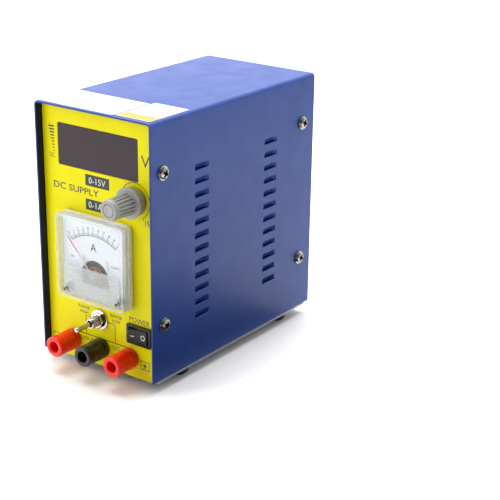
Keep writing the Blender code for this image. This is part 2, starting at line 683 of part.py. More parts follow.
def build_display():
    """Smoked window in the overlay, with the digit block and its board behind the wall."""
    window = rounded(0, WINDOW_Z, WINDOW_WIDTH, WINDOW_HEIGHT, 0.6 * MM, 2)
    back = FRONT_WALL - GAP
    place("display_window", prism("display_window", window, PANEL + 0.1 * MM, back), finish=WINDOW_PLASTIC)
    front = FRONT_WALL + GAP
    half_width = DISPLAY_WIDTH / 2
    half_height = DISPLAY_HEIGHT / 2
    board = front + DISPLAY_DEPTH + GAP
    block = boxes("display_digits", (
        (-half_width, front, WINDOW_Z - half_height),
        (half_width, front + DISPLAY_DEPTH, WINDOW_Z + half_height),
    ))
    place("display_digits", block, finish=BLACK_PLASTIC)
    half_width = WINDOW_WIDTH / 2
    card = boxes("display_board", (
        (-half_width, board, WINDOW_Z - WINDOW_HEIGHT / 2),
        (half_width, board + BOARD_THICKNESS, WINDOW_Z + WINDOW_HEIGHT / 2),
    ))
    place("display_board", card, finish=BOARD_GREEN)


def build_knob():
    """Fluted knob with a front cap, on the potentiometer's shaft."""
    where = (KNOB_X, PANEL, KNOB_Z)
    skirt_back = KNOB_SKIRT_STANDOFF
    skirt_front = skirt_back + KNOB_SKIRT_THICKNESS
    hub_back = KNOB_HUB_STANDOFF
    hollow_top = hub_back + KNOB_HOLLOW_DEPTH
    nose = KNOB_REACH
    seat = nose - KNOB_CAP_THICKNESS
    bore = SHAFT_RADIUS + GAP
    bore_top = skirt_back + SHAFT_GRIP + GAP
    profile = [
        (KNOB_CAP_RADIUS + GAP, nose), (KNOB_FRONT_RADIUS - 0.5 * MM, nose),
        (KNOB_FRONT_RADIUS, nose - 0.7 * MM), (KNOB_REAR_RADIUS, skirt_front),
        (KNOB_SKIRT_RADIUS - 0.4 * MM, skirt_front), (KNOB_SKIRT_RADIUS, skirt_front - 0.4 * MM),
        (KNOB_SKIRT_RADIUS, skirt_back), (KNOB_HUB_RADIUS, skirt_back), (KNOB_HUB_RADIUS, hub_back),
        (KNOB_HOLLOW_RADIUS, hub_back), (KNOB_HOLLOW_RADIUS, hollow_top), (bore, hollow_top),
        (bore, bore_top), (0, bore_top),
        (0, seat - GAP), (KNOB_CAP_RADIUS + GAP, seat - GAP),
    ]
    knob = turned("control_knob", profile, where, FACE_FRONT, GREY_PLASTIC, 36, ring=True)
    flutes = []
    flute_back = skirt_front + GAP
    flute_length = nose - KNOB_FRONT_BAND - flute_back
    for number in range(KNOB_FLUTES):
        angle = math.radians(360 * number / KNOB_FLUTES)
        middle = (KNOB_FRONT_RADIUS + KNOB_REAR_RADIUS) / 2 + 0.35 * MM
        centre = (middle * math.cos(angle), middle * math.sin(angle), flute_back + flute_length / 2)
        lean = math.atan2(KNOB_REAR_RADIUS - KNOB_FRONT_RADIUS, nose - skirt_front)
        turn = Matrix.Rotation(angle, 4, "Z") @ Matrix.Rotation(-lean, 4, "Y")
        size = Matrix.Diagonal((2 * KNOB_FLUTE_DEPTH, 0.9 * MM, flute_length, 1))
        work = bmesh.new()
        bmesh.ops.create_cube(work, size=1, matrix=Matrix.Translation(centre) @ turn @ size)
        flutes.append(mesh_of(work, "flute"))
    combine(knob, place("flute_cutter", joined("flutes", flutes), where, FACE_FRONT), "DIFFERENCE")
    cap = [(0, nose - 0.15 * MM), (KNOB_CAP_RADIUS, nose - 0.15 * MM), (KNOB_CAP_RADIUS, seat), (0, seat)]
    turned("knob_cap", cap, where, FACE_FRONT, LIGHT_GREY_PLASTIC, 24)

    wall = FRONT_WALL_BACK - PANEL
    body_front = -wall - GAP
    shaft_end = body_front - POT_DEPTH + 2 * MM
    shaft = [
        (0, bore_top - GAP), (SHAFT_RADIUS, bore_top - GAP), (SHAFT_RADIUS, shaft_end), (0, shaft_end),
    ]
    turned("pot_shaft", shaft, where, FACE_FRONT, ALUMINIUM, 20)
    hole = SHAFT_RADIUS + GAP
    body = [
        (POT_BUSH_RADIUS, POT_BUSH_REACH), (POT_BUSH_RADIUS, body_front), (POT_RADIUS, body_front),
        (POT_RADIUS, body_front - POT_DEPTH), (0, body_front - POT_DEPTH), (0, shaft_end - GAP),
        (hole, shaft_end - GAP), (hole, POT_BUSH_REACH),
    ]
    turned("pot_body", body, where, FACE_FRONT, ZINC_STEEL, 24, ring=True)
    nut_seat = (KNOB_X, PANEL - GAP, KNOB_Z)
    nut_bore = POT_BUSH_RADIUS + GAP
    nut("pot_nut", POT_NUT_ACROSS, nut_bore, POT_NUT_THICKNESS, nut_seat, FACE_FRONT, SCREW_STEEL)


def build_meter():
    """Panel meter: base with its barrel, dial, magnet, coil with pointer, clear cover and two screws."""
    half = METER_SIZE / 2
    back = PANEL - GAP
    base_front = back - METER_FLANGE
    outline = rounded(METER_X, METER_Z, METER_SIZE, METER_SIZE, METER_CORNER)
    base = place("meter_base", prism("meter_base", outline, base_front, back), finish=WHITE_PLASTIC)
    barrel_back = PANEL + METER_BARREL_DEPTH
    barrel_length = barrel_back - back + MM
    barrel_centre = (METER_X, barrel_back - barrel_length / 2, METER_Z)
    barrel = rods("barrel", METER_BARREL_RADIUS, barrel_length, 36, barrel_centre, turn=FACE_FRONT)
    combine(base, place("barrel_shape", barrel), "UNION")
    bore_back = barrel_back - METER_FLOOR
    bore_length = bore_back - base_front + MM
    bore_centre = (METER_X, bore_back - bore_length / 2, METER_Z)
    bore_radius = METER_BARREL_RADIUS - METER_BARREL_WALL
    bore = rods("barrel_bore", bore_radius, bore_length, 36, bore_centre, turn=FACE_FRONT)
    combine(base, place("barrel_cutter", bore), "DIFFERENCE")
    screw_x = half - METER_SCREW_SIDE_INSET
    screw_z = METER_Z - half + METER_SCREW_RISE
    screws = [("left", METER_X - screw_x), ("right", METER_X + screw_x)]
    hole_centres = [(x, base_front, screw_z) for _, x in screws]
    hole_radius = 0.6 * METER_SCREW_RADIUS + GAP
    holes = rods("meter_screw_holes", hole_radius, METER_FLANGE, 12, *hole_centres, turn=FACE_FRONT)
    combine(base, place("meter_base_cutter", holes), "DIFFERENCE")

    front = PANEL - METER_REACH
    shell_back = base_front - GAP
    shell = place("meter_cover", prism("meter_cover", outline, front, shell_back), finish=CLEAR_PLASTIC)
    hollow_size = METER_SIZE - 2 * METER_COVER_WALL
    hollow = rounded(METER_X, METER_Z, hollow_size, hollow_size, METER_CORNER - METER_COVER_WALL)
    hollow_mesh = prism("meter_hollow", hollow, front + METER_COVER_WALL, shell_back + MM)
    combine(shell, place("meter_hollow_cutter", hollow_mesh), "DIFFERENCE")
    bosses = []
    for _, x in screws:
        boss = arc(x, screw_z, METER_SCREW_RADIUS + MM, 0, 330, 11)
        bosses.append(prism("boss", boss, front + 0.5 * METER_COVER_WALL, shell_back))
    combine(shell, place("meter_bosses", joined("meter_bosses", bosses)), "UNION")
    wells = []
    necks = []
    neck = 0.6 * METER_SCREW_RADIUS
    for _, x in screws:
        head_hole = arc(x, screw_z, METER_SCREW_RADIUS + GAP, 0, 330, 11)
        neck_hole = arc(x, screw_z, neck + GAP, 0, 330, 11)
        wells.append(prism("well", head_hole, front - MM, front + MM))
        necks.append(prism("neck", neck_hole, front, shell_back + MM))
    combine(shell, place("screw_well_cutter", joined("wells", wells)), "DIFFERENCE")
    combine(shell, place("screw_neck_cutter", joined("necks", necks)), "DIFFERENCE")
    head_top = METER_REACH - 0.2 * MM
    head_low = METER_REACH - MM + GAP
    tail = METER_FLANGE - 0.5 * MM
    screw_profile = [
        (0, head_top), (METER_SCREW_RADIUS, head_top - 0.1 * MM), (METER_SCREW_RADIUS, head_low),
        (neck, head_low), (neck, tail), (0, tail),
    ]
    for side, x in screws:
        turned(f"meter_screw_{side}", screw_profile, (x, PANEL, screw_z), FACE_FRONT, BRASS, 12)

    dial_size = METER_SIZE - 2 * DIAL_INSET - 2 * METER_COVER_WALL
    dial_outline = rounded(METER_X, METER_Z, dial_size, dial_size, MM, 2)
    dial_back = DIAL_FACE + DIAL_THICKNESS
    dial = place("meter_dial", prism("meter_dial", dial_outline, DIAL_FACE, dial_back), finish=DIAL_WHITE)
    arch = arc(METER_X, METER_PIVOT_Z - DIAL_ARCH_DROP, DIAL_ARCH_RADIUS, 0, 180, 16)
    foot = METER_PIVOT_Z - DIAL_ARCH_FOOT
    arch += [(METER_X - DIAL_ARCH_RADIUS, foot), (METER_X + DIAL_ARCH_RADIUS, foot)]
    arch_mesh = prism("dial_arch", arch, DIAL_FACE - MM, dial_back + MM)
    combine(dial, place("dial_arch_cutter", arch_mesh), "DIFFERENCE")
    clear = rods("dial_screw_gaps", METER_SCREW_RADIUS + 1.5 * MM, MM * 3, 12,
                 *[(x, DIAL_FACE, screw_z) for _, x in screws], turn=FACE_FRONT)
    combine(dial, place("dial_screw_cutter", clear), "DIFFERENCE")

    magnet_front = PANEL - METER_FLANGE + GAP
    where = (METER_X, magnet_front, METER_PIVOT_Z)
    inner = MAGNET_RADIUS - MAGNET_WALL
    ring = [(MAGNET_RADIUS, 0), (MAGNET_RADIUS, -MAGNET_DEPTH), (inner, -MAGNET_DEPTH), (inner, 0)]
    turned("meter_magnet", ring, where, FACE_FRONT, MAGNET_STEEL, 24, ring=True)
    coil_radius = inner - RUNNING_GAP
    pointer_back = magnet_front - POINTER_Y - POINTER_THICKNESS
    coil = [
        (0, pointer_back - GAP), (COIL_SHAFT_RADIUS, pointer_back - GAP), (COIL_SHAFT_RADIUS, -0.5 * MM),
        (coil_radius, -0.5 * MM), (coil_radius, -COIL_LENGTH), (0, -COIL_LENGTH),
    ]
    turned("meter_coil", coil, where, FACE_FRONT, COPPER, 20)
    half_width = POINTER_WIDTH / 2
    rim = math.degrees(math.asin(half_width / POINTER_HUB_RADIUS))
    outline = [(half_width * 0.4, POINTER_LENGTH), (-half_width * 0.4, POINTER_LENGTH)]
    outline += arc(0, 0, POINTER_HUB_RADIUS, 90 + rim, 270 - rim, 10)
    outline += [(-half_width, -POINTER_TAIL), (half_width, -POINTER_TAIL)]
    outline += arc(0, 0, POINTER_HUB_RADIUS, 270 + rim, 450 - rim, 10)
    needle = prism("meter_pointer", outline, 0, POINTER_THICKNESS)
    swing = Matrix.Rotation(math.radians(-METER_ZERO), 4, "Y")
    place("meter_pointer", needle, (METER_X, POINTER_Y, METER_PIVOT_Z), swing, RED_PAINT)


def build_toggle():
    """Miniature toggle switch: body, threaded bush, lock washer, nut and lever."""
    where = (TOGGLE_X, PANEL, TOGGLE_Z)
    wall = FRONT_WALL_BACK - PANEL
    body_front = -wall - GAP
    bore = TOGGLE_BUSH_BORE
    bush_back = body_front
    pivot = TOGGLE_BUSH_REACH - TOGGLE_PIVOT_DEPTH
    bush = [
        (TOGGLE_BUSH_RADIUS, TOGGLE_BUSH_REACH - 0.3 * MM), (TOGGLE_BUSH_RADIUS, bush_back),
        (bore, bush_back), (bore, TOGGLE_BUSH_REACH), (TOGGLE_BUSH_RADIUS - 0.3 * MM, TOGGLE_BUSH_REACH),
    ]
    turned("toggle_bush", bush, where, FACE_FRONT, CHROME, 20, ring=True)
    washer_back = GAP
    washer_front = washer_back + TOGGLE_WASHER_THICKNESS
    washer_bore = TOGGLE_BUSH_RADIUS + GAP
    washer = [
        (TOGGLE_WASHER_RADIUS, washer_front), (TOGGLE_WASHER_RADIUS, washer_back),
        (washer_bore, washer_back), (washer_bore, washer_front),
    ]
    turned("toggle_washer", washer, where, FACE_FRONT, CHROME, 24, ring=True)
    nut_seat = (TOGGLE_X, PANEL - washer_front - GAP, TOGGLE_Z)
    nut("toggle_nut", TOGGLE_NUT_ACROSS, washer_bore, TOGGLE_NUT_THICKNESS, nut_seat, FACE_FRONT, CHROME)
    behind = FRONT_WALL_BACK + 2 * GAP
    shape = boxes("toggle_body", (
        (TOGGLE_X - TOGGLE_BODY_WIDTH / 2, behind, TOGGLE_Z - TOGGLE_BODY_HEIGHT / 2),
        (TOGGLE_X + TOGGLE_BODY_WIDTH / 2, behind + TOGGLE_BODY_DEPTH, TOGGLE_Z + TOGGLE_BODY_HEIGHT / 2),
    ))
    place("toggle_body", shape, finish=BLACK_PLASTIC)
    reach = TOGGLE_LEVER_REACH - pivot
    knuckle = bore - GAP
    lever = [
        (0, reach), (0.6 * TOGGLE_TIP_RADIUS, reach - 0.15 * MM), (TOGGLE_TIP_RADIUS, reach - 0.9 * MM),
        (TOGGLE_TIP_RADIUS * 0.98, reach - 3 * MM), (TOGGLE_LEVER_RADIUS, TOGGLE_PIVOT_DEPTH),
        (TOGGLE_LEVER_RADIUS, 0.7 * knuckle), (knuckle, 0), (0.7 * knuckle, -0.7 * knuckle), (0, -knuckle),
    ]
    turned("toggle_lever", lever, (TOGGLE_X, PANEL - pivot, TOGGLE_Z), FACE_FRONT, CHROME, 16)


def build_rocker():
    """Snap-in power switch: housing with its bezel, and the rocker, pressed in at its right end."""
    bezel_front = PANEL - GAP - BEZEL_REACH
    bezel = rounded(ROCKER_X, ROCKER_Z, BEZEL_WIDTH, BEZEL_HEIGHT, 0.8 * MM, 3)
    bezel_mesh = prism("rocker_housing", bezel, bezel_front, PANEL - GAP)
    housing = place("rocker_housing", bezel_mesh, finish=BLACK_PLASTIC)
    trim = 2 * BEZEL_LIP
    body = rounded(ROCKER_X, ROCKER_Z, BEZEL_WIDTH - trim, BEZEL_HEIGHT - trim, 0.5 * MM, 2)
    housing_back = PANEL + ROCKER_HOUSING_DEPTH
    body_mesh = prism("rocker_body", body, bezel_front + 0.5 * BEZEL_REACH, housing_back)
    combine(housing, place("rocker_body_shape", body_mesh), "UNION")
    pivot = bezel_front + ROCKER_PIVOT_DEPTH
    half = ROCKER_WIDTH / 2
    sweep = math.hypot(half, ROCKER_CORNER_REACH) + RUNNING_GAP
    well_height = ROCKER_FACE_HEIGHT + 2 * GAP
    well = boxes("rocker_well", (
        (ROCKER_X - sweep, bezel_front - MM, ROCKER_Z - well_height / 2),
        (ROCKER_X + sweep, bezel_front + ROCKER_WELL_DEPTH, ROCKER_Z + well_height / 2),
    ))
    combine(housing, place("rocker_well_cutter", well), "DIFFERENCE")
    corner = math.degrees(math.atan2(ROCKER_CORNER_REACH, half))
    radius = math.hypot(half, ROCKER_CORNER_REACH)
    face = [(0, -ROCKER_VALLEY_REACH)]
    right = arc(0, 0, radius, -corner, 12, 5)
    keel = [(0.35 * half, 0.6 * half), (-0.35 * half, 0.6 * half)]
    left = [(-u, v) for u, v in reversed(right)]
    mesh = prism("rocker", face + right + keel + left, -ROCKER_FACE_HEIGHT / 2, ROCKER_FACE_HEIGHT / 2, "Z")
    tilt = Matrix.Rotation(math.radians(ROCKER_TILT), 4, "Z")
    place("rocker", mesh, (ROCKER_X, pivot, ROCKER_Z), tilt, BLACK_PLASTIC)


def build_posts():
    """Binding posts: a stud with the socket, an insulating collar, a screw cap and a nut each."""
    wall = FRONT_WALL_BACK - PANEL
    collar_back = GAP
    bore = POST_STUD_RADIUS + GAP
    collar = [
        (POST_RADIUS - 0.4 * MM, POST_COLLAR_REACH), (POST_RADIUS, POST_COLLAR_REACH - 0.4 * MM),
        (POST_RADIUS, collar_back), (POST_SPIGOT_RADIUS, collar_back), (POST_SPIGOT_RADIUS, -wall),
        (bore, -wall), (bore, POST_COLLAR_REACH),
    ]
    cap_back = POST_COLLAR_REACH + GAP
    length = POST_REACH - cap_back
    cap = [
        (POST_WAIST_RADIUS - 0.3 * MM, POST_REACH), (POST_WAIST_RADIUS + 0.15 * MM, POST_REACH - 0.5 * MM),
        (POST_RADIUS, POST_REACH - 1.6 * MM), (POST_RADIUS - 0.1 * MM, cap_back + 0.72 * length),
        (POST_WAIST_RADIUS, cap_back + 0.6 * length),
        (POST_WAIST_RADIUS + 0.1 * MM, cap_back + 0.4 * length),
        (POST_RADIUS, cap_back + 0.12 * length), (POST_RADIUS - 0.4 * MM, cap_back),
        (bore, cap_back), (bore, POST_REACH - 0.3 * MM), (bore + 0.3 * MM, POST_REACH),
    ]
    stud_front = POST_REACH - POST_STUD_RECESS
    socket = stud_front - POST_SOCKET_DEPTH
    stud = [
        (POST_STUD_RADIUS, stud_front), (POST_STUD_RADIUS, -wall - POST_TAIL), (0, -wall - POST_TAIL),
        (0, socket), (POST_SOCKET_RADIUS, socket), (POST_SOCKET_RADIUS, stud_front),
    ]
    colours = {"left": RED_PLASTIC, "middle": BLACK_PLASTIC, "right": RED_PLASTIC}
    for name, x in post_places():
        where = (x, PANEL, POST_Z)
        turned(f"post_collar_{name}", collar, where, FACE_FRONT, colours[name], 20, ring=True)
        turned(f"post_cap_{name}", cap, where, FACE_FRONT, colours[name], 20, ring=True)
        turned(f"post_stud_{name}", stud, where, FACE_FRONT, BRASS, 16, ring=True)
        seat = (x, PANEL + wall + GAP + POST_NUT_THICKNESS, POST_Z)
        nut(f"post_nut_{name}", POST_NUT_ACROSS, bore, POST_NUT_THICKNESS, seat, FACE_FRONT, BRASS)


def build_inlet():
    """Snap-in mains inlet with three pins, and the fuse drawer under them."""
    seat = REAR_WALL_BACK + GAP
    face = seat + INLET_FLANGE
    x = INLET_SIDE_OFFSET
    flange = rounded(x, INLET_Z, INLET_WIDTH, INLET_HEIGHT, MM, 2)
    inlet = place("mains_inlet", prism("mains_inlet", flange, seat, face), finish=BLACK_PLASTIC)
    body = rounded(x, INLET_Z, INLET_BODY_WIDTH, INLET_BODY_HEIGHT, MM, 2)
    body_mesh = prism("inlet_body", body, face - INLET_BODY_DEPTH, seat + 0.5 * INLET_FLANGE)
    combine(inlet, place("inlet_body_shape", body_mesh), "UNION")
    socket_z = INLET_Z + SOCKET_RISE
    half = SOCKET_WIDTH / 2
    rise = SOCKET_HEIGHT / 2
    outline = [
        (x - half, socket_z - rise), (x + half, socket_z - rise),
        (x + half, socket_z + rise - SOCKET_CHAMFER), (x + half - SOCKET_CHAMFER, socket_z + rise),
        (x - half + SOCKET_CHAMFER, socket_z + rise), (x - half, socket_z + rise - SOCKET_CHAMFER),
    ]
    socket = prism("socket", outline, face - SOCKET_DEPTH, face + MM)
    drawer_z = INLET_Z - DRAWER_DROP
    slot_side = DRAWER_WIDTH / 2 + RUNNING_GAP
    slot_rise = DRAWER_HEIGHT / 2 + RUNNING_GAP
    slot = boxes("drawer_slot", (
        (x - slot_side, face - DRAWER_DEPTH - GAP, drawer_z - slot_rise),
        (x + slot_side, face + MM, drawer_z + slot_rise),
    ))
    combine(inlet, place("inlet_cutter", joined("inlet_cuts", [socket, slot])), "DIFFERENCE")
    pins = []
    side = INLET_PIN_SPACING / 2
    floor = face - SOCKET_DEPTH
    for offset, lift in ((-side, -1.5 * MM), (side, -1.5 * MM), (0, 2.5 * MM)):
        pin_x = x + offset
        pin_z = socket_z + lift
        pins.append((
            (pin_x - INLET_PIN_WIDTH / 2, floor - MM, pin_z - INLET_PIN_HEIGHT / 2),
            (pin_x + INLET_PIN_WIDTH / 2, floor + INLET_PIN_LENGTH, pin_z + INLET_PIN_HEIGHT / 2),
        ))
    combine(inlet, place("inlet_pins", boxes("inlet_pins", *pins)), "UNION")
    drawer = boxes("fuse_drawer", (
        (x - DRAWER_WIDTH / 2, face - DRAWER_DEPTH, drawer_z - DRAWER_HEIGHT / 2),
        (x + DRAWER_WIDTH / 2, face - 0.1 * MM, drawer_z + DRAWER_HEIGHT / 2),
    ))
    fuse_drawer = place("fuse_drawer", drawer, finish=BLACK_PLASTIC)
    grip = boxes("drawer_grip", (
        (x - DRAWER_WIDTH / 4, face - 1.2 * MM, drawer_z + DRAWER_HEIGHT / 4),
        (x + DRAWER_WIDTH / 4, face + MM, drawer_z + DRAWER_HEIGHT),
    ))
    combine(fuse_drawer, place("drawer_grip_cutter", grip), "DIFFERENCE")


def build_transformer():
    """Laminated core standing on the base, with the bobbin round its middle leg."""
    centre_y = REAR_WALL - CORE_REAR_INSET - CORE_STACK / 2
    low = BASE_TOP + GAP
    centre_z = low + CORE_HEIGHT / 2
    outline = rounded(0, centre_z, CORE_WIDTH, CORE_HEIGHT, 0.5 * MM, 1)
    front = centre_y - CORE_STACK / 2
    rear = centre_y + CORE_STACK / 2
    core = place("transformer_core", prism("transformer_core", outline, front, rear), finish=CORE_STEEL)
    leg = CORE_LEG / 2
    window_high = centre_z + CORE_WINDOW_HEIGHT / 2
    window_low = centre_z - CORE_WINDOW_HEIGHT / 2
    windows = boxes(
        "core_windows",
        ((leg, front - MM, window_low), (2 * leg, rear + MM, window_high)),
        ((-2 * leg, front - MM, window_low), (-leg, rear + MM, window_high)),
    )
    combine(core, place("core_window_cutter", windows), "DIFFERENCE")
    bobbin_half = 2 * leg - GAP
    bobbin_front = front - BOBBIN_BULGE
    bobbin_rear = rear + BOBBIN_BULGE
    bobbin = rounded(0, centre_y, 2 * bobbin_half, bobbin_rear - bobbin_front, 2 * MM, 3)
    winding = prism("transformer_winding", bobbin, window_low + GAP, window_high - GAP, "Z")
    coil = place("transformer_winding", winding, finish=WINDING_TAPE)
    hole = boxes("bobbin_hole", (
        (-leg - GAP, front - GAP, window_low - MM), (leg + GAP, rear + GAP, window_high + MM),
    ))
    combine(coil, place("bobbin_cutter", hole), "DIFFERENCE")


def build_main_board():
    """Board on the pressed standoffs, with its capacitor, heatsink and power transistor."""
    side = CHASSIS_SIDE - CHASSIS_SHEET - MAIN_BOARD_SIDE_GAP
    front, rear = main_board_span()
    board_top = BOARD_Z + BOARD_THICKNESS
    board = boxes("main_board", ((-side, front, BOARD_Z), (side, rear, board_top)))
    place("main_board", board, finish=BOARD_GREEN)
    seat = board_top + GAP
    middle = (front + rear) / 2
    can = [
        (0, CAPACITOR_HEIGHT), (CAPACITOR_RADIUS - 0.6 * MM, CAPACITOR_HEIGHT),
        (CAPACITOR_RADIUS, CAPACITOR_HEIGHT - 0.6 * MM), (CAPACITOR_RADIUS, 0), (0, 0),
    ]
    capacitor_x = -side + CAPACITOR_RADIUS + 6 * MM
    turned("filter_capacitor", can, (capacitor_x, middle, seat), FACE_UP, BLACK_PLASTIC, 24)
    sink_x = side - HEATSINK_WIDTH / 2 - 3 * MM
    outline = []
    step = (HEATSINK_WIDTH - HEATSINK_FIN_THICKNESS) / (HEATSINK_FINS - 1)
    root = middle + HEATSINK_BASE
    for fin in range(HEATSINK_FINS):
        left = sink_x - HEATSINK_WIDTH / 2 + fin * step
        right = left + HEATSINK_FIN_THICKNESS
        if fin:
            outline.append((left, root))
        outline += [(left, root + HEATSINK_FIN), (right, root + HEATSINK_FIN)]
        if fin < HEATSINK_FINS - 1:
            outline.append((right, root))
    outline += [(sink_x + HEATSINK_WIDTH / 2, middle), (sink_x - HEATSINK_WIDTH / 2, middle)]
    sink = prism("heatsink", outline, seat, seat + HEATSINK_HEIGHT, "Z")
    place("heatsink", sink, finish=ALUMINIUM)
    low = seat + 8 * MM
    transistor = boxes("power_transistor", (
        (sink_x - TRANSISTOR_WIDTH / 2, middle - GAP - TRANSISTOR_THICKNESS, low),
        (sink_x + TRANSISTOR_WIDTH / 2, middle - GAP, low + TRANSISTOR_HEIGHT),
    ))
    place("power_transistor", transistor, finish=BLACK_PLASTIC)


def build_labels():
    """Two paper labels stuck on the cover's top."""
    low = TOP + GAP / 3
    for name, (left, right, front, rear) in (("white_label", WHITE_LABEL), ("banded_label", BANDED_LABEL)):
        shape = boxes(name, (
            (left, FRONT_EDGE + front, low), (right, FRONT_EDGE + rear, low + LABEL_THICKNESS),
        ))
        place(name, shape, finish=PAPER)


build_cover()
build_chassis()
build_overlay()
build_feet()
build_cover_screws()
build_display()
build_knob()
build_meter()
build_toggle()
build_rocker()
build_posts()
build_inlet()
build_transformer()
build_main_board()
build_labels()
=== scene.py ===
"""Bench power supply: the finished looks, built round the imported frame, in metres."""
import math

import bmesh
import bpy
import numpy as np
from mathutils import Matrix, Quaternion, Vector


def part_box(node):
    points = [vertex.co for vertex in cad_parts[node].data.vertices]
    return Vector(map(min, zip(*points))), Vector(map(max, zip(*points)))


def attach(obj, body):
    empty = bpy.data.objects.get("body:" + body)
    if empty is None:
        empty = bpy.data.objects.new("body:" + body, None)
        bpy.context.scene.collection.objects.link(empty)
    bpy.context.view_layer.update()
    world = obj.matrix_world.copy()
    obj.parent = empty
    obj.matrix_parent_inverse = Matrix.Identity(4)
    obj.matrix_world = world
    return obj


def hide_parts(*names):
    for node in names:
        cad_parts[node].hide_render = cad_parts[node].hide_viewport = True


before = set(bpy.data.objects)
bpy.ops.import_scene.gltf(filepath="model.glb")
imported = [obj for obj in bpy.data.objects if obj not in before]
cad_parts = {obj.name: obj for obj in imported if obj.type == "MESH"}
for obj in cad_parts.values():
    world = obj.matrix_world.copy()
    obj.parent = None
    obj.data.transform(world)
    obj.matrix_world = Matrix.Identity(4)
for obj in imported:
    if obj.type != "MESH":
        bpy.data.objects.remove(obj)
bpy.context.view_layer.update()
MM = 0.001

# ------------------------------------------------------------------------------
# Chassis. One zinc-plated steel sheet, sheared and folded into base, front wall and rear wall. The
# plating gives a dull silver with faint upright rolling lines.


def linear(hex_colour):
    """Linear RGBA of an sRGB hex colour: each channel c goes to ((c + 0.055) / 1.055) ** 2.4."""
    channels = [int(hex_colour[i:i + 2], 16) / 255 for i in (1, 3, 5)]
    return [c / 12.92 if c < 0.04045 else ((c + 0.055) / 1.055) ** 2.4 for c in channels] + [1]


def add_node(tree, kind, inputs=None, **settings):
    """One shader node with its settings, and each input given a value or linked to a socket."""
    node = tree.nodes.new("ShaderNode" + kind)
    for name, value in settings.items():
        setattr(node, name, value)
    for name, value in (inputs or {}).items():
        if isinstance(value, bpy.types.NodeSocket):
            tree.links.new(value, node.inputs[name])
        else:
            node.inputs[name].default_value = value
    return node


def finish(name, **constants):
    """A new Principled material. Constants are set on the shader's own sockets."""
    made = bpy.data.materials.new(name)
    made.use_nodes = True
    shader = made.node_tree.nodes["Principled BSDF"]
    for socket, value in constants.items():
        shader.inputs[socket.replace("_", " ")].default_value = value
    return made, made.node_tree, shader


def object_place(tree, stretch=(1, 1, 1)):
    """The point on the object, in metres, stretched along each axis."""
    where = add_node(tree, "TexCoord").outputs["Object"]
    return add_node(tree, "Mapping", {"Vector": where, "Scale": stretch}).outputs[0]


def blend_colours(tree, amount, first, second):
    """The first colour where the amount is 0, going to the second where it is 1."""
    mix = add_node(tree, "Mix", {0: amount, 6: first, 7: second}, data_type="RGBA")
    return mix.outputs[2]


def spread(tree, value, low, high, start=0.3, end=0.7):
    """The value's span start to end brought to low to high."""
    sent = {"Value": value, "From Min": start, "From Max": end, "To Min": low, "To Max": high}
    return add_node(tree, "MapRange", sent).outputs[0]


def grain(name, colours, rough, patch_mm, grain_mm, bump_mm, stretch=(1, 1, 1), **constants):
    """A material with two noises on Object coordinates: a coarse one mixes the two colours and the two
    roughnesses, and a fine one is the bump, both with their feature size in mm."""
    made, tree, shader = finish(name, **constants)
    place = object_place(tree, stretch)
    coarse = add_node(tree, "TexNoise", {"Vector": place, "Scale": 1 / (patch_mm * MM), "Detail": 4.0})
    fine = add_node(tree, "TexNoise", {"Vector": place, "Scale": 1 / (grain_mm * MM), "Detail": 2.0})
    tint = spread(tree, coarse.outputs[0], 0, 1)
    colour = blend_colours(tree, tint, linear(colours[0]), linear(colours[1]))
    tree.links.new(colour, shader.inputs["Base Color"])
    tree.links.new(spread(tree, coarse.outputs[0], *rough), shader.inputs["Roughness"])
    bump = add_node(tree, "Bump", {"Height": fine.outputs[0], "Distance": bump_mm * MM, "Strength": 1.0})
    tree.links.new(bump.outputs[0], shader.inputs["Normal"])
    return made


def dress(node, material, body, bevel_mm=0.15, angle=35):
    """A welded copy of a CAD node that stands for it. Its flat faces are joined again, its edges sharper
    than the angle are rounded by the bevel, and the rest is smooth."""
    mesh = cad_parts[node].data.copy()
    work = bmesh.new()
    work.from_mesh(mesh)
    bmesh.ops.remove_doubles(work, verts=work.verts, dist=0.002 * MM)
    bmesh.ops.dissolve_limit(work, angle_limit=math.radians(0.5), verts=work.verts, edges=work.edges)
    work.to_mesh(mesh)
    work.free()
    made = bpy.data.objects.new(node + "_dressed", mesh)
    bpy.context.scene.collection.objects.link(made)
    mesh.materials.clear()
    mesh.materials.append(material)
    mesh.shade_smooth()
    mesh.set_sharp_from_angle(angle=math.radians(angle))
    if bevel_mm:
        edge = made.modifiers.new("edge", "BEVEL")
        edge.width = bevel_mm * MM
        edge.segments = 2
        edge.limit_method = "ANGLE"
        edge.angle_limit = math.radians(angle)
        edge.harden_normals = True
    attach(made, body)
    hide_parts(node)
    return made


zinc_plate = grain("zinc_plated_steel_folded", ("#A6A9A8", "#9DA1A1"), (0.38, 0.46), 2.5, 0.5, 0.008,
                   (1, 1, 0.08), Metallic=1.0)
dress("chassis", zinc_plate, "case", 0.2)

# ------------------------------------------------------------------------------
# Cover. One steel sheet folded over the top and both sides, powder coated blue outside. Each louvre is cut
# along its lower edge only and pressed inwards, so it runs smoothly into the sheet on the other three.

COVER_SHEET = 1.2 * MM
COVER_BEND = 2.6 * MM
LOUVRES = 12
LOUVRE_PITCH = 8.03 * MM
LOUVRE_LOWEST = 27.5 * MM
LOUVRE_HEIGHT = 3.3 * MM
LOUVRE_LENGTH = 12.4 * MM
LOUVRE_DEPTH = 2.1 * MM
cover_low, cover_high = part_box("cover")
louvre_columns = (cover_low.y + 44 * MM, cover_high.y - 45.8 * MM)


def grid_faces(rows, columns, close_rows=False, close_columns=False):
    """Quads between neighbouring points of a grid. A closed direction joins its last line to its first."""
    index = np.arange(rows * columns).reshape(rows, columns)
    if close_rows:
        index = np.vstack([index, index[:1]])
    if close_columns:
        index = np.hstack([index, index[:, :1]])
    corners = (index[:-1, :-1], index[1:, :-1], index[1:, 1:], index[:-1, 1:])
    return np.stack(corners, -1).reshape(-1, 4)


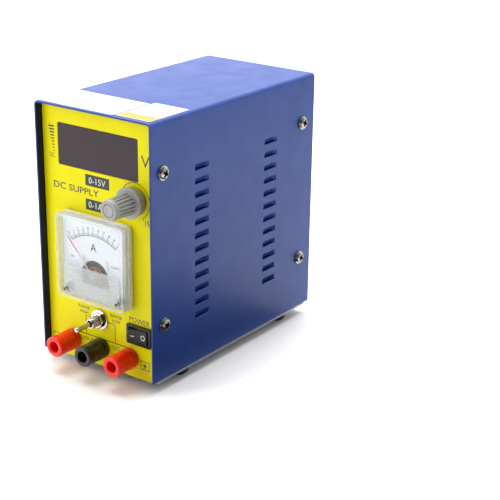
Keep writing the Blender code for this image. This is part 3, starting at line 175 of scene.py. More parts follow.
def piece(name, shapes, material, body, sharp=35, weld=0.001 * MM):
    """One object out of shapes, each an array of points and one of faces, welded and facing outwards."""
    starts = np.cumsum([0] + [len(points) for points, _ in shapes])
    faces = [face for (_, group), start in zip(shapes, starts) for face in (group + start).tolist()]
    mesh = bpy.data.meshes.new(name)
    mesh.from_pydata(np.concatenate([points for points, _ in shapes]), [], faces)
    work = bmesh.new()
    work.from_mesh(mesh)
    bmesh.ops.remove_doubles(work, verts=work.verts, dist=weld)
    bmesh.ops.dissolve_degenerate(work, edges=work.edges, dist=weld / 4)
    bmesh.ops.recalc_face_normals(work, faces=work.faces)
    work.to_mesh(mesh)
    work.free()
    mesh.materials.append(material)
    mesh.shade_smooth()
    mesh.set_sharp_from_angle(angle=math.radians(sharp))
    made = bpy.data.objects.new(name, mesh)
    bpy.context.scene.collection.objects.link(made)
    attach(made, body)
    return made


def arc_points(centre, radius, start, end, steps):
    """Points of an arc from one angle to another, in degrees, about the centre."""
    angle = np.radians(np.linspace(start, end, steps + 1))
    return np.stack([centre[0] + radius * np.cos(angle), centre[1] + radius * np.sin(angle)], 1)


def folded_sheet():
    """The outer skin: a U of sides, bends and top in x and z, carried along y. Each louvre's cell is left
    out of the grid, whose lines run along the louvres' edges."""
    half = cover_high.x
    rows = np.arange(LOUVRES)
    low_edges = cover_low.z + LOUVRE_LOWEST + rows * LOUVRE_PITCH
    side_z = np.sort(np.concatenate([[cover_low.z], low_edges, low_edges + LOUVRE_HEIGHT]))
    side = np.stack([np.full(len(side_z), half), side_z], 1)
    hub = (half - COVER_BEND, cover_high.z - COVER_BEND)
    bend = arc_points(hub, COVER_BEND, 0, 90, 8)
    section = np.concatenate([side, bend])
    section = np.concatenate([section, section[::-1] * (-1, 1)])
    reach = LOUVRE_LENGTH / 2
    edges = [column + offset for column in louvre_columns for offset in (-reach, reach)]
    along = np.array([cover_low.y, *edges, cover_high.y])
    points = np.zeros((len(section), len(along), 3))
    points[..., 0] = section[:, :1]
    points[..., 1] = along
    points[..., 2] = section[:, 1:]
    faces = grid_faces(len(section), len(along)).reshape(len(section) - 1, len(along) - 1, 4)
    keep = np.ones(faces.shape[:2], bool)
    cells = 1 + 2 * rows
    for column in (1, 3):
        keep[cells, column] = False
        keep[len(section) - 2 - cells, column] = False
    return points.reshape(-1, 3), faces[keep]


def louvre_flap(side, centre_y, low_z):
    """A flap on a grid, u from end to end and v downwards. Its outer face lies inwards by the sink at its
    upper edge and ends, and by (depth - sink) * sin(90 deg * v) * (1 - |u|^5) more between them."""
    sink = 0.12 * MM
    u, v = np.meshgrid(np.linspace(-1, 1, 25), np.linspace(0, 1, 9))
    inward = sink + (LOUVRE_DEPTH - sink) * np.sin(np.pi / 2 * v) * (1 - np.abs(u) ** 5)
    height = low_z + LOUVRE_HEIGHT + 0.2 * MM - v * (LOUVRE_HEIGHT + 0.1 * MM)
    length = centre_y + u * (LOUVRE_LENGTH / 2 + 0.15 * MM)
    outer = np.stack([side * (cover_high.x - inward), length, height], -1)
    inner = outer - np.array([side * 0.75 * COVER_SHEET, 0, 0])
    rows, columns = u.shape
    count = u.size
    faces = grid_faces(rows, columns)
    index = np.arange(count).reshape(rows, columns)
    rim = np.concatenate([index[0], index[1:, -1], index[-1, -2::-1], index[-2:0:-1, 0]])
    after = np.roll(rim, -1)
    walls = np.stack([rim, after, after + count, rim + count], 1)
    return np.concatenate([outer.reshape(-1, 3), inner.reshape(-1, 3)]), \
        np.concatenate([faces, faces[:, ::-1] + count, walls])


# Semi-gloss powder coat: an even deep blue whose orange peel, 0.9 mm across, softens every reflection.
powder_coat = grain("blue_powder_coat", ("#1B408E", "#183B86"), (0.36, 0.44), 14, 0.9, 0.012,
                    Specular_IOR_Level=0.36)
cover = piece("cover_sheet", [folded_sheet()], powder_coat, "case")
# Inside, the sheet is coloured nearly black: painted shade standing in for the unlit inside of the cover.
inside_painted_shade = grain("painted_shade_inside_cover", ("#161820", "#1B1E28"), (0.6, 0.75), 10, 0.9, 0.008,
                  Specular_IOR_Level=0.2)
cover.data.materials.append(inside_painted_shade)
wall = cover.modifiers.new("sheet", "SOLIDIFY")
wall.thickness = COVER_SHEET
wall.offset = -1
wall.use_even_offset = True
# The inner faces of the sheet take this painted shade.
wall.material_offset = 1
edge = cover.modifiers.new("edge", "BEVEL")
edge.width = 0.3 * MM
edge.segments = 2
edge.limit_method = "ANGLE"
edge.angle_limit = math.radians(50)
edge.harden_normals = True
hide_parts("cover")
flaps = [
    louvre_flap(side, column, cover_low.z + LOUVRE_LOWEST + row * LOUVRE_PITCH)
    for side in (-1, 1) for column in louvre_columns for row in range(LOUVRES)
]
piece("cover_louvres", flaps, powder_coat, "case", 50)

# ------------------------------------------------------------------------------
# Cover screws. Nickel-plated steel pan heads, M4, with a captive washer and a cross recess, headed cold
# and plated, so they are bright; the dark of the cross recess is painted shade.

FACINGS = {
    "front": ((1, 0, 0), (0, 0, 1), (0, -1, 0)),
    "rear": ((1, 0, 0), (0, 0, 1), (0, 1, 0)),
    "right": ((0, 1, 0), (0, 0, 1), (1, 0, 0)),
    "left": ((0, 1, 0), (0, 0, 1), (-1, 0, 0)),
    "up": ((1, 0, 0), (0, 1, 0), (0, 0, 1)),
}


def faced(points, centre, facing):
    """Points given across, up and out of a face, moved to the centre and turned to the facing."""
    return np.asarray(centre) + points @ np.array(FACINGS[facing], float)


def turn(profile, centre, facing, steps=48, ring=False, reshape=None):
    """A profile of radius and height turned about the facing's axis: at angle a, a point goes to r cos a
    across and r sin a up. reshape(r, h, a) may change the radius and height. A ring's profile is closed."""
    profile = np.asarray(profile, float)
    angle = np.linspace(0, 2 * np.pi, steps, endpoint=False)
    radius, around = np.meshgrid(profile[:, 0], angle, indexing="ij")
    height = np.broadcast_to(profile[:, 1:], radius.shape)
    if reshape:
        radius, height = reshape(radius, height, around)
    points = np.stack([radius * np.cos(around), radius * np.sin(around), height], -1)
    faces = grid_faces(len(profile), steps, ring, True)
    return faced(points.reshape(-1, 3), centre, facing), faces


def soften(profile, radius, steps=3, ring=False):
    """Each corner of a profile becomes a curve from radius before it to radius after it:
    (1-t)^2 start + 2t(1-t) corner + t^2 end. The two ends of an open profile stay."""
    profile = np.asarray(profile, float)
    before = np.roll(profile, 1, 0) - profile
    after = np.roll(profile, -1, 0) - profile
    reach_before = np.linalg.norm(before, axis=1, keepdims=True)
    reach_after = np.linalg.norm(after, axis=1, keepdims=True)
    start = profile + before / reach_before * np.minimum(radius, 0.48 * reach_before)
    end = profile + after / reach_after * np.minimum(radius, 0.48 * reach_after)
    t = np.linspace(0, 1, steps + 1)[None, :, None]
    curves = (1 - t) ** 2 * start[:, None] + 2 * t * (1 - t) * profile[:, None] + t ** 2 * end[:, None]
    if ring:
        return curves.reshape(-1, 2)
    return np.concatenate([profile[:1], curves[1:-1].reshape(-1, 2), profile[-1:]])


def screw_head(centre, facing, rim, dome, washer_rim, washer):
    """Pan head: height = washer + dome * sqrt(1 - 0.72 (r / rim)^2.6). The cross recess is sunk where the
    smaller of |x| and |y| is under 0.24 rim and the larger under 0.66 rim."""
    fan = np.linspace(0, 1, 22)[:, None] * rim
    top = washer + dome * np.sqrt(1 - 0.72 * (fan / rim) ** 2.6)
    profile = np.hstack([fan, top])
    skirt = np.array([[rim, washer], [washer_rim - 0.1 * MM, washer], [washer_rim, washer - 0.12 * MM],
                      [washer_rim, 0.02 * MM], [washer_rim - 0.1 * MM, 0], [0, 0]])

    def recess(radius, height, around):
        x = np.abs(radius * np.cos(around + 0.5))
        y = np.abs(radius * np.sin(around + 0.5))
        narrow = np.clip((0.24 * rim - np.minimum(x, y)) / (0.05 * rim), 0, 1)
        short = np.clip((0.66 * rim - np.maximum(x, y)) / (0.08 * rim), 0, 1)
        on_top = height > washer + 0.01 * MM
        return radius, height - np.where(on_top, 0.95 * dome * narrow * short, 0)

    return turn(np.concatenate([profile, skirt]), centre, facing, 72, False, recess)


# Bright nickel over cold-headed steel: neutral silver, slightly uneven where the plating is thin.
nickel_plate = grain("nickel_plated_steel_headed", ("#B3B0A8", "#94918A"), (0.2, 0.34), 1.5, 0.3, 0.004,
                     Metallic=1.0)
# Painted shade for the cross recess: dull and nearly black, where the recess lies in shade.
recess_painted_shade = grain("painted_shade_cross_recess", ("#141414", "#1D1C1B"), (0.6, 0.8), 1, 0.3, 0.004, Metallic=0.3)


def cross_screw(name, centre, facing, head, shank, shank_steps):
    """A screw out of a head's rim, dome, washer rim and washer, and a shank's profile. Faces near the axis
    whose middle lies over 0.15 mm under the dome take the recess's painted shade."""
    rim, dome, _, washer = head
    shapes = [screw_head(centre, facing, *head), turn(shank, centre, facing, shank_steps)]
    made = piece(name, shapes, nickel_plate, "case", 30)
    made.data.materials.append(recess_painted_shade)
    to_facing = np.array(FACINGS[facing], float)
    for face in made.data.polygons:
        x, y, height = to_facing @ (np.array(face.center) - np.asarray(centre))
        radius = min(math.hypot(x, y), 0.7 * rim)
        surface = washer + dome * math.sqrt(1 - 0.72 * (radius / rim) ** 2.6)
        if radius < 0.7 * rim and washer < height < surface - 0.15 * MM:
            face.material_index = 1
    return made


SCREW_HEAD = (3.2 * MM, 1.7 * MM, 4.1 * MM, 0.8 * MM)
SCREW_SHANK = [(0, -5 * MM), (1.6 * MM, -5 * MM), (1.6 * MM, 0.1 * MM), (0, 0.1 * MM)]
for side, reach in (("left", -1), ("right", 1)):
    for row in ("front_low", "front_high", "rear_low", "rear_high"):
        node = f"cover_screw_{side}_{row}"
        low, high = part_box(node)
        centre = (reach * (cover_high.x + 0.05 * MM), (low.y + high.y) / 2, (low.z + high.z) / 2)
        screw = cross_screw(node + "_head", centre, side, SCREW_HEAD, SCREW_SHANK, 20)
        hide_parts(node)

# ------------------------------------------------------------------------------
# Feet. Moulded black rubber with a drafted side, a rounded sole and a barbed stem pushed through the base.

# Moulded rubber: near black, with the fine pitting of the mould and a dry sheen.
foot_rubber = grain("moulded_black_rubber", ("#1B1B1C", "#242424"), (0.68, 0.82), 4, 0.35, 0.02)
for row in ("front_left", "front_right", "rear_left", "rear_right"):
    low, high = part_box("foot_" + row)
    centre = ((low.x + high.x) / 2, (low.y + high.y) / 2, 0)
    tip = high.z / MM
    sole_line = [(0, 0), (4.9, 0), (6.3, 1.4), (6.5, 4.2), (5.9, 4.75), (2.2, 4.75), (2.2, 6.3), (3, 6.4),
                 (2.9, 7.0), (1.1, tip), (0, tip)]
    sole = soften(np.array(sole_line) * MM, 0.5 * MM)
    foot = piece("foot_rubber_" + row, [turn(sole, centre, "up")], foot_rubber, "case", 50)
    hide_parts("foot_" + row)

# ------------------------------------------------------------------------------
# Front panel. A yellow polyester film, screen printed from behind and stuck to the front wall. Its
# lettering is generic: ranges, units, signs and the words for what each control does.

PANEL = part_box("front_overlay")[0].y
INK = 0.035 * MM
foot_line = cover_low.z


def lettering(words, height, centre, front, width=None, heavy=0.0):
    """Letters as thin closed solids facing the front, scaled to a height and, if given, a width. A point's
    depth is the front or the back of the ink layer."""
    curve = bpy.data.curves.new("letters", "FONT")
    curve.body = words
    curve.offset = heavy
    curve.extrude = 0.01
    curve.resolution_u = 3
    holder = bpy.data.objects.new("letters", curve)
    bpy.context.scene.collection.objects.link(holder)
    seen = holder.evaluated_get(bpy.context.evaluated_depsgraph_get())
    mesh = bpy.data.meshes.new_from_object(seen)
    mesh.calc_loop_triangles()
    flat = np.zeros(len(mesh.vertices) * 3, np.float32)
    mesh.vertices.foreach_get("co", flat)
    faces = np.zeros(len(mesh.loop_triangles) * 3, np.int32)
    mesh.loop_triangles.foreach_get("vertices", faces)
    bpy.data.objects.remove(holder)
    flat = flat.reshape(-1, 3).astype(float)
    low, high = flat.min(0), flat.max(0)
    tall = height / (high[1] - low[1])
    wide = width / (high[0] - low[0]) if width else tall
    x = centre[0] + (flat[:, 0] - (low[0] + high[0]) / 2) * wide
    z = centre[1] + (flat[:, 1] - (low[1] + high[1]) / 2) * tall
    y = np.where(flat[:, 2] > 0, front, front + INK)
    return np.stack([x, y, z], 1), faces.reshape(-1, 3)


def ink_line(path, width, front, closed=False, thick=None):
    """A line of ink: a path in x and z widened by half the width along its normal to both sides, from the
    front back by the layer's thickness. An open path has two ends, a closed one none."""
    path = np.asarray(path, float)
    if closed:
        ahead = np.roll(path, -1, 0) - np.roll(path, 1, 0)
    else:
        ahead = np.gradient(path, axis=0)
    ahead /= np.linalg.norm(ahead, axis=1, keepdims=True)
    aside = np.stack([-ahead[:, 1], ahead[:, 0]], 1) * width / 2
    back = front + (thick or INK)
    rows = [(path + aside, front), (path - aside, front), (path - aside, back), (path + aside, back)]
    points = np.stack([np.stack([p[:, 0], np.full(len(p), y), p[:, 1]], 1) for p, y in rows], 1)
    faces = grid_faces(len(path), 4, closed, True)
    if not closed:
        last = 4 * (len(path) - 1)
        faces = np.concatenate([faces, [[0, 1, 2, 3]], [[last + 3, last + 2, last + 1, last]]])
    return points.reshape(-1, 3), faces


def on_panel(x, z):
    """A place on the panel from its width's middle and the cover's lower edge, in mm."""
    return (x * MM, foot_line + z * MM)


def panel_line(points, width_mm):
    """A line of ink on the film, through places on the panel."""
    return ink_line([on_panel(*point) for point in points], width_mm * MM, PANEL - INK * 0.6)


def panel_words(words, height_mm, x, z, width_mm=None, heavy=0.0, front=PANEL - INK * 0.6):
    """Words on the film, centred on a place on the panel."""
    return lettering(words, height_mm * MM, on_panel(x, z), front, width_mm and width_mm * MM, heavy)


# Printed polyester: a saturated lemon yellow behind a lightly textured face that spreads highlights.
yellow_film = grain("screen_printed_polyester_yellow", ("#E6DC00", "#E1D600"), (0.38, 0.46), 18, 0.25,
                    0.003, Specular_IOR_Level=0.12)
dress("front_overlay", yellow_film, "case", 0)

# Screen ink: an opaque blue-black layer, slightly glossier than the film.
panel_ink = grain("screen_ink_black", ("#12181C", "#182024"), (0.3, 0.4), 6, 0.3, 0.002)
sloped = [panel_line([(-36 + 0.35 * k, 135.6 - 1.75 * k), (-31.8, 135.6 - 1.75 * k)], 0.95 - 0.06 * k)
          for k in range(9)]


def round_knob(radius, degrees):
    """A place on the panel round the knob, in mm, from its angle clockwise from upright."""
    a = math.radians(degrees)
    return (26.9 + radius * math.sin(a), 103.9 + radius * math.cos(a))


dial_marks = [panel_line([round_knob(10.2, end), round_knob(11.6, end)], 0.5) for end in (-150, 150)]
knob_arc = [round_knob(10.2, degrees) for degrees in np.linspace(-150, 150, 61)]
corner = arc_points((18.4, 12.0), 2.8, 90, 0, 6).tolist()
print_black = sloped + dial_marks + [
    panel_line(knob_arc, 0.4),
    panel_line([(-9.3, 109.1), (8.3, 109.1)], 6.6),
    panel_line([(-9.5, 94.9), (15.2, 94.9)], 6.4),
    panel_words("V", 6.4, 34.4, 127.0, 6.0),
    panel_words("DC", 2.6, -33.9, 119.0, 3.8),
    panel_words("DC SUPPLY", 3.9, -16.5, 102.2, 34, 0.012),
    panel_words("0", 2.6, 17.6, 93.6, None, 0.01),
    panel_words("15", 2.8, 35.2, 92.6, None, 0.01),
    panel_words("POWER", 3.0, 28.4, 33.3, 15.0, 0.006),
    panel_words("RANGE", 2.0, -13.4, 31.6, 8.6, 0.01),
    panel_words("HIGH", 2.0, -13.4, 28.6, 6.4, 0.01),
    panel_words("RANGE", 2.0, 11.0, 31.6, 8.6, 0.01),
    panel_words("LOW", 2.0, 11.0, 28.6, 6.0, 0.01),
    panel_words("OUTPUT", 2.5, -12.8, 11.8, 12.2, 0.004),
    panel_words("TEST", 2.5, 9.9, 11.8, 7.0, 0.004),
    panel_line([(-8.4, 26.7), (-12.1, 26.5), (-12.1, 15.4)], 0.5),
    panel_line([(4.7, 26.4), (8.4, 26.4), (9.4, 26.1), (10.0, 25.2), (10.0, 15.4)], 0.5),
    panel_line([(-20.6, 14.9), (18.4, 14.8)] + corner, 0.5),
    panel_line([(-20.6, 14.9), (-21.6, 14.4), (-22.3, 13.4)], 0.5),
]
for x in (-35.35, 31.95):
    frame_box = [(x - 3.1, 4.3), (x + 3.1, 4.3), (x + 3.1, 9.4), (x - 3.1, 9.4)]
    print_black.append(ink_line([on_panel(*p) for p in frame_box], 0.55 * MM, PANEL - INK * 0.6, True))
    print_black.append(panel_line([(x - 1.5, 6.85), (x + 1.5, 6.85)], 0.7))
print_black.append(panel_line([(31.95, 5.35), (31.95, 8.35)], 0.7))
piece("panel_print", print_black, panel_ink, "case", 30)
film_letters = [
    panel_words("0-15V", 3.6, -0.6, 109.1, 12.4, 0.0, PANEL - INK * 1.4),
    panel_words("0-1A", 3.6, -2.2, 94.9, 10.4, 0.0, PANEL - INK * 1.4),
]
# Second screen: a pale yellow-green ink on top of the dark boxes.
pale_ink = grain("screen_ink_pale", ("#DDE3C8", "#D3DABC"), (0.4, 0.5), 4, 0.3, 0.002)
piece("panel_print_letters", film_letters, pale_ink, "case", 30)

# ------------------------------------------------------------------------------
# Display. A smoked acrylic window flush in the film, in front of a black block of three unlit digits.

# Smoked acrylic: almost black, glossy, just letting the digits behind it show.
smoked_acrylic = grain("smoked_acrylic_cast", ("#38232C", "#321E27"), (0.06, 0.12), 20, 3, 0.004,
                       Transmission_Weight=0.3, IOR=1.49, Specular_IOR_Level=0.22)
dress("display_window", smoked_acrylic, "case", 0.1)
# Moulded ABS, black: a satin surface with a fine even spark-eroded texture.
black_abs = grain("moulded_abs_black", ("#17171A", "#1F1F22"), (0.36, 0.48), 5, 0.4, 0.006)
dress("display_digits", black_abs, "case", 0.2)
digits_low, digits_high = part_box("display_digits")


def digit_segments(centre_x, centre_z, wide, tall, thick):
    """Seven bars of a digit: three across, four upright, each shortened at its ends, leaning 8 degrees."""
    lean = math.tan(math.radians(8))
    spans = [((-1, v), (1, v)) for v in (-1, 0, 1)]
    spans += [((h, v), (h, v + 1)) for h in (-1, 1) for v in (-1, 0)]
    bars = []
    for (h0, v0), (h1, v1) in spans:
        ends = np.array([[h0 * wide / 2, v0 * tall / 2], [h1 * wide / 2, v1 * tall / 2]])
        ends = ends + (ends[::-1] - ends) / np.linalg.norm(ends[1] - ends[0]) * thick * 0.62
        ends[:, 0] += ends[:, 1] * lean
        bars.append(ink_line(ends + (centre_x, centre_z), thick, digits_low.y - 0.15 * MM, False, 0.2 * MM))
    return bars


# Unlit segments: diffusing epoxy, a dull grey-brown.
segment_epoxy = grain("diffusing_epoxy_unlit", ("#8A7F7C", "#7D7370"), (0.5, 0.6), 2, 0.4, 0.002)
middle_z = (digits_low.z + digits_high.z) / 2
segments = sum([digit_segments(x * MM, middle_z, 7 * MM, 13 * MM, 1.3 * MM) for x in (-12, 0, 12)], [])
piece("display_segments", segments, segment_epoxy, "case")
# Solder mask on glass-fibre board: dark green, glossy, with the fine weave just showing.
board_green = grain("glass_fibre_board_green", ("#1E5A34", "#184C2B"), (0.25, 0.4), 6, 0.5, 0.004)
dress("display_board", board_green, "case", 0.1)
dress("main_board", board_green, "case", 0.1)

# ------------------------------------------------------------------------------
# Control knob. Grey moulded ABS with a fluted, tapered grip, a smooth front band, a skirt disc and a
# lighter press-in cap, pushed onto the potentiometer's aluminium shaft, which turns in a bush with a nut.

low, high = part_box("control_knob")
knob_centre = ((low.x + high.x) / 2, PANEL, (low.z + high.z) / 2)
KNOB_REACH = PANEL - low.y
KNOB_BAND = 3 * MM
FLUTES = 18


def knob_flutes(radius, height, around):
    """The grip's radius loses 0.7 mm in each groove, where cos(n a) is over 0.3, with steep sides. The
    grooves start 6.8 mm off the panel and end at the front band, over 0.4 mm at each end."""
    rear_end = np.clip((height - 6.8 * MM) / (0.4 * MM), 0, 1)
    front_end = np.clip((KNOB_REACH - KNOB_BAND - height) / (0.4 * MM), 0, 1)
    groove = np.clip(3 * (np.cos(FLUTES * around) - 0.3), 0, 1)
    grip = (radius > 4.6 * MM) & (height > 6.5 * MM)
    return radius - np.where(grip, 0.7 * MM * groove * rear_end * front_end, 0), height


grip_line = np.linspace(6.6 * MM, KNOB_REACH - 0.8 * MM, 60)
grip_radius = 5.7 * MM + 0.7 * MM * (KNOB_REACH - grip_line) / (KNOB_REACH - 6.6 * MM)
band = np.clip((grip_line - (KNOB_REACH - KNOB_BAND)) / (2.4 * MM), 0, 1)
grip_radius = grip_radius + 0.25 * MM * np.sin(np.pi * band)
hub_line = [(3.3, 17), (3.3, 3.3), (6.6, 3.3), (6.6, 1), (8.2, 1), (8.2, 4.8), (8.9, 4.8), (8.9, 6.4),
            (6.6, 6.4)]
knob_profile = np.concatenate([
    soften(np.array(hub_line) * MM, 0.35 * MM),
    np.stack([grip_radius, grip_line], 1),
    arc_points((5.05 * MM, KNOB_REACH - 0.7 * MM), 0.7 * MM, 10, 90, 5),
    [(3.75 * MM, KNOB_REACH), (3.6 * MM, KNOB_REACH - 0.15 * MM), (3.6 * MM, KNOB_REACH - 1.4 * MM),
     (0, KNOB_REACH - 1.4 * MM), (0, 17 * MM)],
])
# Moulded ABS, mid grey: satin, with a soft sheen on the ribs.
grey_abs = grain("moulded_abs_grey", ("#9C9C9A", "#929290"), (0.34, 0.44), 4, 0.35, 0.004)
grip_shape = turn(knob_profile, knob_centre, "front", 288, True, knob_flutes)
knob = piece("knob_grip", [grip_shape], grey_abs, "knob", 40)
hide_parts("control_knob")
cap_profile = soften([(0, KNOB_REACH - 0.05 * MM), (3.35 * MM, KNOB_REACH - 0.05 * MM),
                      (3.45 * MM, KNOB_REACH - 1.3 * MM), (0, KNOB_REACH - 1.3 * MM)], 0.25 * MM)


def cap_dish(radius, height, around):
    """The cap's face is dished by 0.25 mm: height loses depth * (1 - (r / 3 mm)^2) inside that radius."""
    dish = np.clip(1 - (radius / (3 * MM)) ** 2, 0, 1)
    return radius, height - np.where(height > KNOB_REACH - 0.5 * MM, 0.25 * MM * dish, 0)


face_radii = np.linspace(0, 3 * MM, 10)
cap_face = np.stack([face_radii, np.full(10, KNOB_REACH - 0.05 * MM)], 1)
cap_profile = np.concatenate([cap_face, cap_profile[1:]])
light_grey_abs = grain("moulded_abs_light_grey", ("#A2A2A0", "#999997"), (0.3, 0.4), 3, 0.3, 0.003)
cap_shape = turn(cap_profile, knob_centre, "front", 64, False, cap_dish)
cap = piece("knob_face_cap", [cap_shape], light_grey_abs, "knob", 40)
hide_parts("knob_cap")
# Turned aluminium: pale, with fine rings round the shaft.
aluminium = grain("turned_aluminium", ("#C3C5C8", "#B2B4B8"), (0.28, 0.4), 3, 0.4, 0.004, Metallic=1.0)
dress("pot_shaft", aluminium, "knob", 0.2)
dress("pot_body", zinc_plate, "case", 0.25)
dress("pot_nut", nickel_plate, "case", 0.25)

# ------------------------------------------------------------------------------
# Panel meter. A white moulded base with its barrel through the wall, an enamelled dial with a printed arc,
# a moving coil with a red-tipped pointer and its hairspring, and a clear acrylic cover held by two screws.
# The cover's lower half is moulded with fine lens ribs that veil the movement.

METER_X = -0.5
METER_Z = 64.2
PIVOT_Z = METER_Z - 9.2
dial_low, dial_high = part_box("meter_dial")
shell_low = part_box("meter_cover")[0]
DIAL_FACE = dial_low.y
# Moulded polystyrene, white: slightly warm and glossy.
white_styrene = grain("moulded_polystyrene_white", ("#EDEBE2", "#E6E3D9"), (0.25, 0.35), 8, 0.5, 0.003)
dress("meter_base", white_styrene, "case", 0.35)
# Baked enamel: a matt, slightly bluish white.
dial_enamel = grain("baked_enamel_white", ("#E8EEF5", "#E2E9F1"), (0.45, 0.55), 7, 0.3, 0.002)
dress("meter_dial", dial_enamel, "case", 0.05)
dial_ink = grain("dial_ink_blue_grey", ("#3C4A60", "#455368"), (0.5, 0.6), 3, 0.3, 0.001)


def dial_point(radius_mm, degrees):
    """A place on the dial from its distance to the scale's centre and its angle clockwise from upright. The
    scale is printed about a point 5.7 mm below the pivot."""
    a = math.radians(degrees)
    return (-0.3 + radius_mm * math.sin(a), PIVOT_Z - 5.7 + radius_mm * math.cos(a))


def dial_line(points, width_mm):
    """A line of ink on the dial, through places on the panel."""
    return ink_line([on_panel(*point) for point in points], width_mm * MM, DIAL_FACE - INK * 0.6)


def dial_words(words, height_mm, x, z, heavy=0.01):
    """Words on the dial, centred on a place on the panel."""
    return lettering(words, height_mm * MM, on_panel(x, z), DIAL_FACE - INK * 0.6, None, heavy)


def scale_number(words, degrees):
    """A number above its mark, turned about its own middle to stand upright along the scale's radius."""
    x, z = on_panel(*dial_point(33.4, degrees))
    points, faces = lettering(words, 1.9 * MM, (0, 0), DIAL_FACE - INK * 0.6, None, 0.005)
    a = math.radians(degrees)
    across = points[:, 0] * math.cos(a) + points[:, 2] * math.sin(a)
    up = points[:, 2] * math.cos(a) - points[:, 0] * math.sin(a)
    return np.stack([x + across, points[:, 1], z + up], 1), faces


SCALE_START, SCALE_END = -35.6, 32.4
sweep = np.linspace(SCALE_START, SCALE_END, 41)
dial_print = [dial_line([dial_point(29.1, a) for a in sweep], 0.3)]
for k in range(51):
    degrees = SCALE_START + (SCALE_END - SCALE_START) * k / 50
    reach, width = (32.2, 0.36) if k % 5 == 0 else (30.8, 0.2)
    dial_print.append(dial_line([dial_point(29.1, degrees), dial_point(reach, degrees)], width))
for k, words in enumerate(("0", ".1", ".2", ".3", ".4", ".5", ".6", ".7", ".8", ".9", "1")):
    dial_print.append(scale_number(words, SCALE_START + (SCALE_END - SCALE_START) * k / 10))
dial_print += [
    dial_words("A", 4.6, -1.2, 71.6),
    dial_words("DC", 1.5, -17.2, 63.2),
    dial_words("CLASS 2.5", 1.5, 15.8, 63.2),
]
piece("meter_scale", dial_print, dial_ink, "case")

# Sintered magnet: dark grey and dull.
magnet_grey = grain("sintered_magnet_grey", ("#3A3A3C", "#2E2E30"), (0.5, 0.65), 2, 0.3, 0.02,
                    Metallic=0.8)
dress("meter_magnet", magnet_grey, "case", 0.3)
# Enamelled copper wire, wound: fine turns 0.25 mm apart that shine along their length.
copper_wire = grain("enamelled_copper_wound", ("#B4652E", "#9A5023"), (0.25, 0.4), 1, 0.25, 0.03,
                    (1, 4, 1), Metallic=1.0)
dress("meter_coil", copper_wire, "meter_movement", 0.15)


def half_ring(name, radius_mm, width_mm, lag_mm, material):
    """A half ring standing behind the dial's arch, 5 mm deep: a widened arc about a point 1.5 mm below the
    pivot, which starts the lag behind the dial."""
    arc = arc_points(on_panel(METER_X, PIVOT_Z - 1.5), radius_mm * MM, 0, 180, 32)
    ring = ink_line(arc, width_mm * MM, dial_high.y + lag_mm * MM, False, 5 * MM)
    return piece(name, [ring], material, "case", 40)


# The movement's pole piece is a dark half ring that shows through the arch, with the coil's turns inside.
half_ring("meter_pole_piece", 8.3, 3.2, 0.4, magnet_grey)
half_ring("meter_coil_turns", 5.9, 1.2, 0.1, copper_wire)
# The pointer's stops: two small white leaves folded forward from the dial's frame.
stops = [
    ink_line([on_panel(x0, z0), on_panel(x1, z1)], 1.5 * MM, DIAL_FACE - 0.5 * MM, False, 0.45 * MM)
    for x0, z0, x1, z1 in ((-10.8, 65.1, -7.3, 60.1), (7.8, 66, 9, 60.6))
]
piece("meter_stops", stops, white_styrene, "case", 30)
pointer_low, pointer_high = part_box("meter_pointer")


def pointer_outline():
    """The pointer's outline: a blade narrowing to its tip, a round hub and a short tail, turned to rest."""
    hub = arc_points((0, 0), 2.1, 100, 260, 14)
    blade = np.array([(0.14, 27.6), (-0.14, 27.6), (-0.32, 8), (-0.36, 2.2)])
    tail = np.array([(-0.36, -3.1), (0.36, -3.1)])
    mirrored = np.array([(0.36, 2.2), (0.32, 8)])
    flat = np.concatenate([blade, hub, tail, (hub * (-1, 1))[::-1], mirrored])
    a = math.radians(41.5)
    across = flat[:, 0] * math.cos(a) - flat[:, 1] * math.sin(a)
    up = flat[:, 0] * math.sin(a) + flat[:, 1] * math.cos(a)
    return np.stack([METER_X * MM + across * MM, foot_line + (PIVOT_Z + up) * MM], 1)


def plate(outline, front, back):
    """A flat plate: the outline in x and z, front and back, a wall round it and fans from its middle."""
    count = len(outline)
    middle = outline.mean(0)
    rings = [np.stack([p[:, 0], np.full(len(p), y), p[:, 1]], 1)
             for y in (front, back) for p in (outline, middle[None])]
    index = np.arange(count)
    after = np.roll(index, -1)
    walls = np.stack([index, after, after + count + 1, index + count + 1], 1)
    fan = np.stack([np.full(count, count), index, after], 1)
    points = np.concatenate(rings)
    return [(points, walls), (points, fan), (points, fan + count + 1)]


# Aluminium strip, matt: left pale near the hub and sprayed signal red beyond 16.4 mm from the pivot.
pointer_red, tree, shader = finish("aluminium_strip_red_tip", Roughness=0.45)
hub_place = (METER_X * MM, (pointer_low.y + pointer_high.y) / 2, foot_line + PIVOT_Z * MM)
ends = {0: object_place(tree), 1: hub_place}
from_hub = add_node(tree, "VectorMath", ends, operation="DISTANCE").outputs[1]
tipped = spread(tree, from_hub, 0, 1, 16.3 * MM, 16.6 * MM)
tipped = blend_colours(tree, tipped, linear("#C9CCCC"), linear("#D2261C"))
tree.links.new(tipped, shader.inputs["Base Color"])
pointer = piece("meter_needle", plate(pointer_outline(), pointer_low.y, pointer_high.y), pointer_red,
                "meter_movement", 30, 0.0005 * MM)
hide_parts("meter_pointer")


def hairspring():
    """A flat spiral: the radius grows from 1.2 to 2.5 mm over four turns. The ribbon is 0.3 mm deep and
    0.1 mm thick."""
    a = np.linspace(0, 8 * np.pi, 160)
    radius = (1.2 + 1.3 * a / a[-1]) * MM
    path = np.stack([METER_X * MM + radius * np.cos(a), foot_line + PIVOT_Z * MM + radius * np.sin(a)], 1)
    return ink_line(path, 0.1 * MM, pointer_high.y + 0.35 * MM, False, 0.3 * MM)


# Drawn brass: yellow and bright.
drawn_brass = grain("drawn_brass", ("#C9A24A", "#B58E3C"), (0.2, 0.35), 2, 0.3, 0.004, Metallic=1.0)
piece("meter_hairspring", [hairspring()], drawn_brass, "meter_movement", 50)

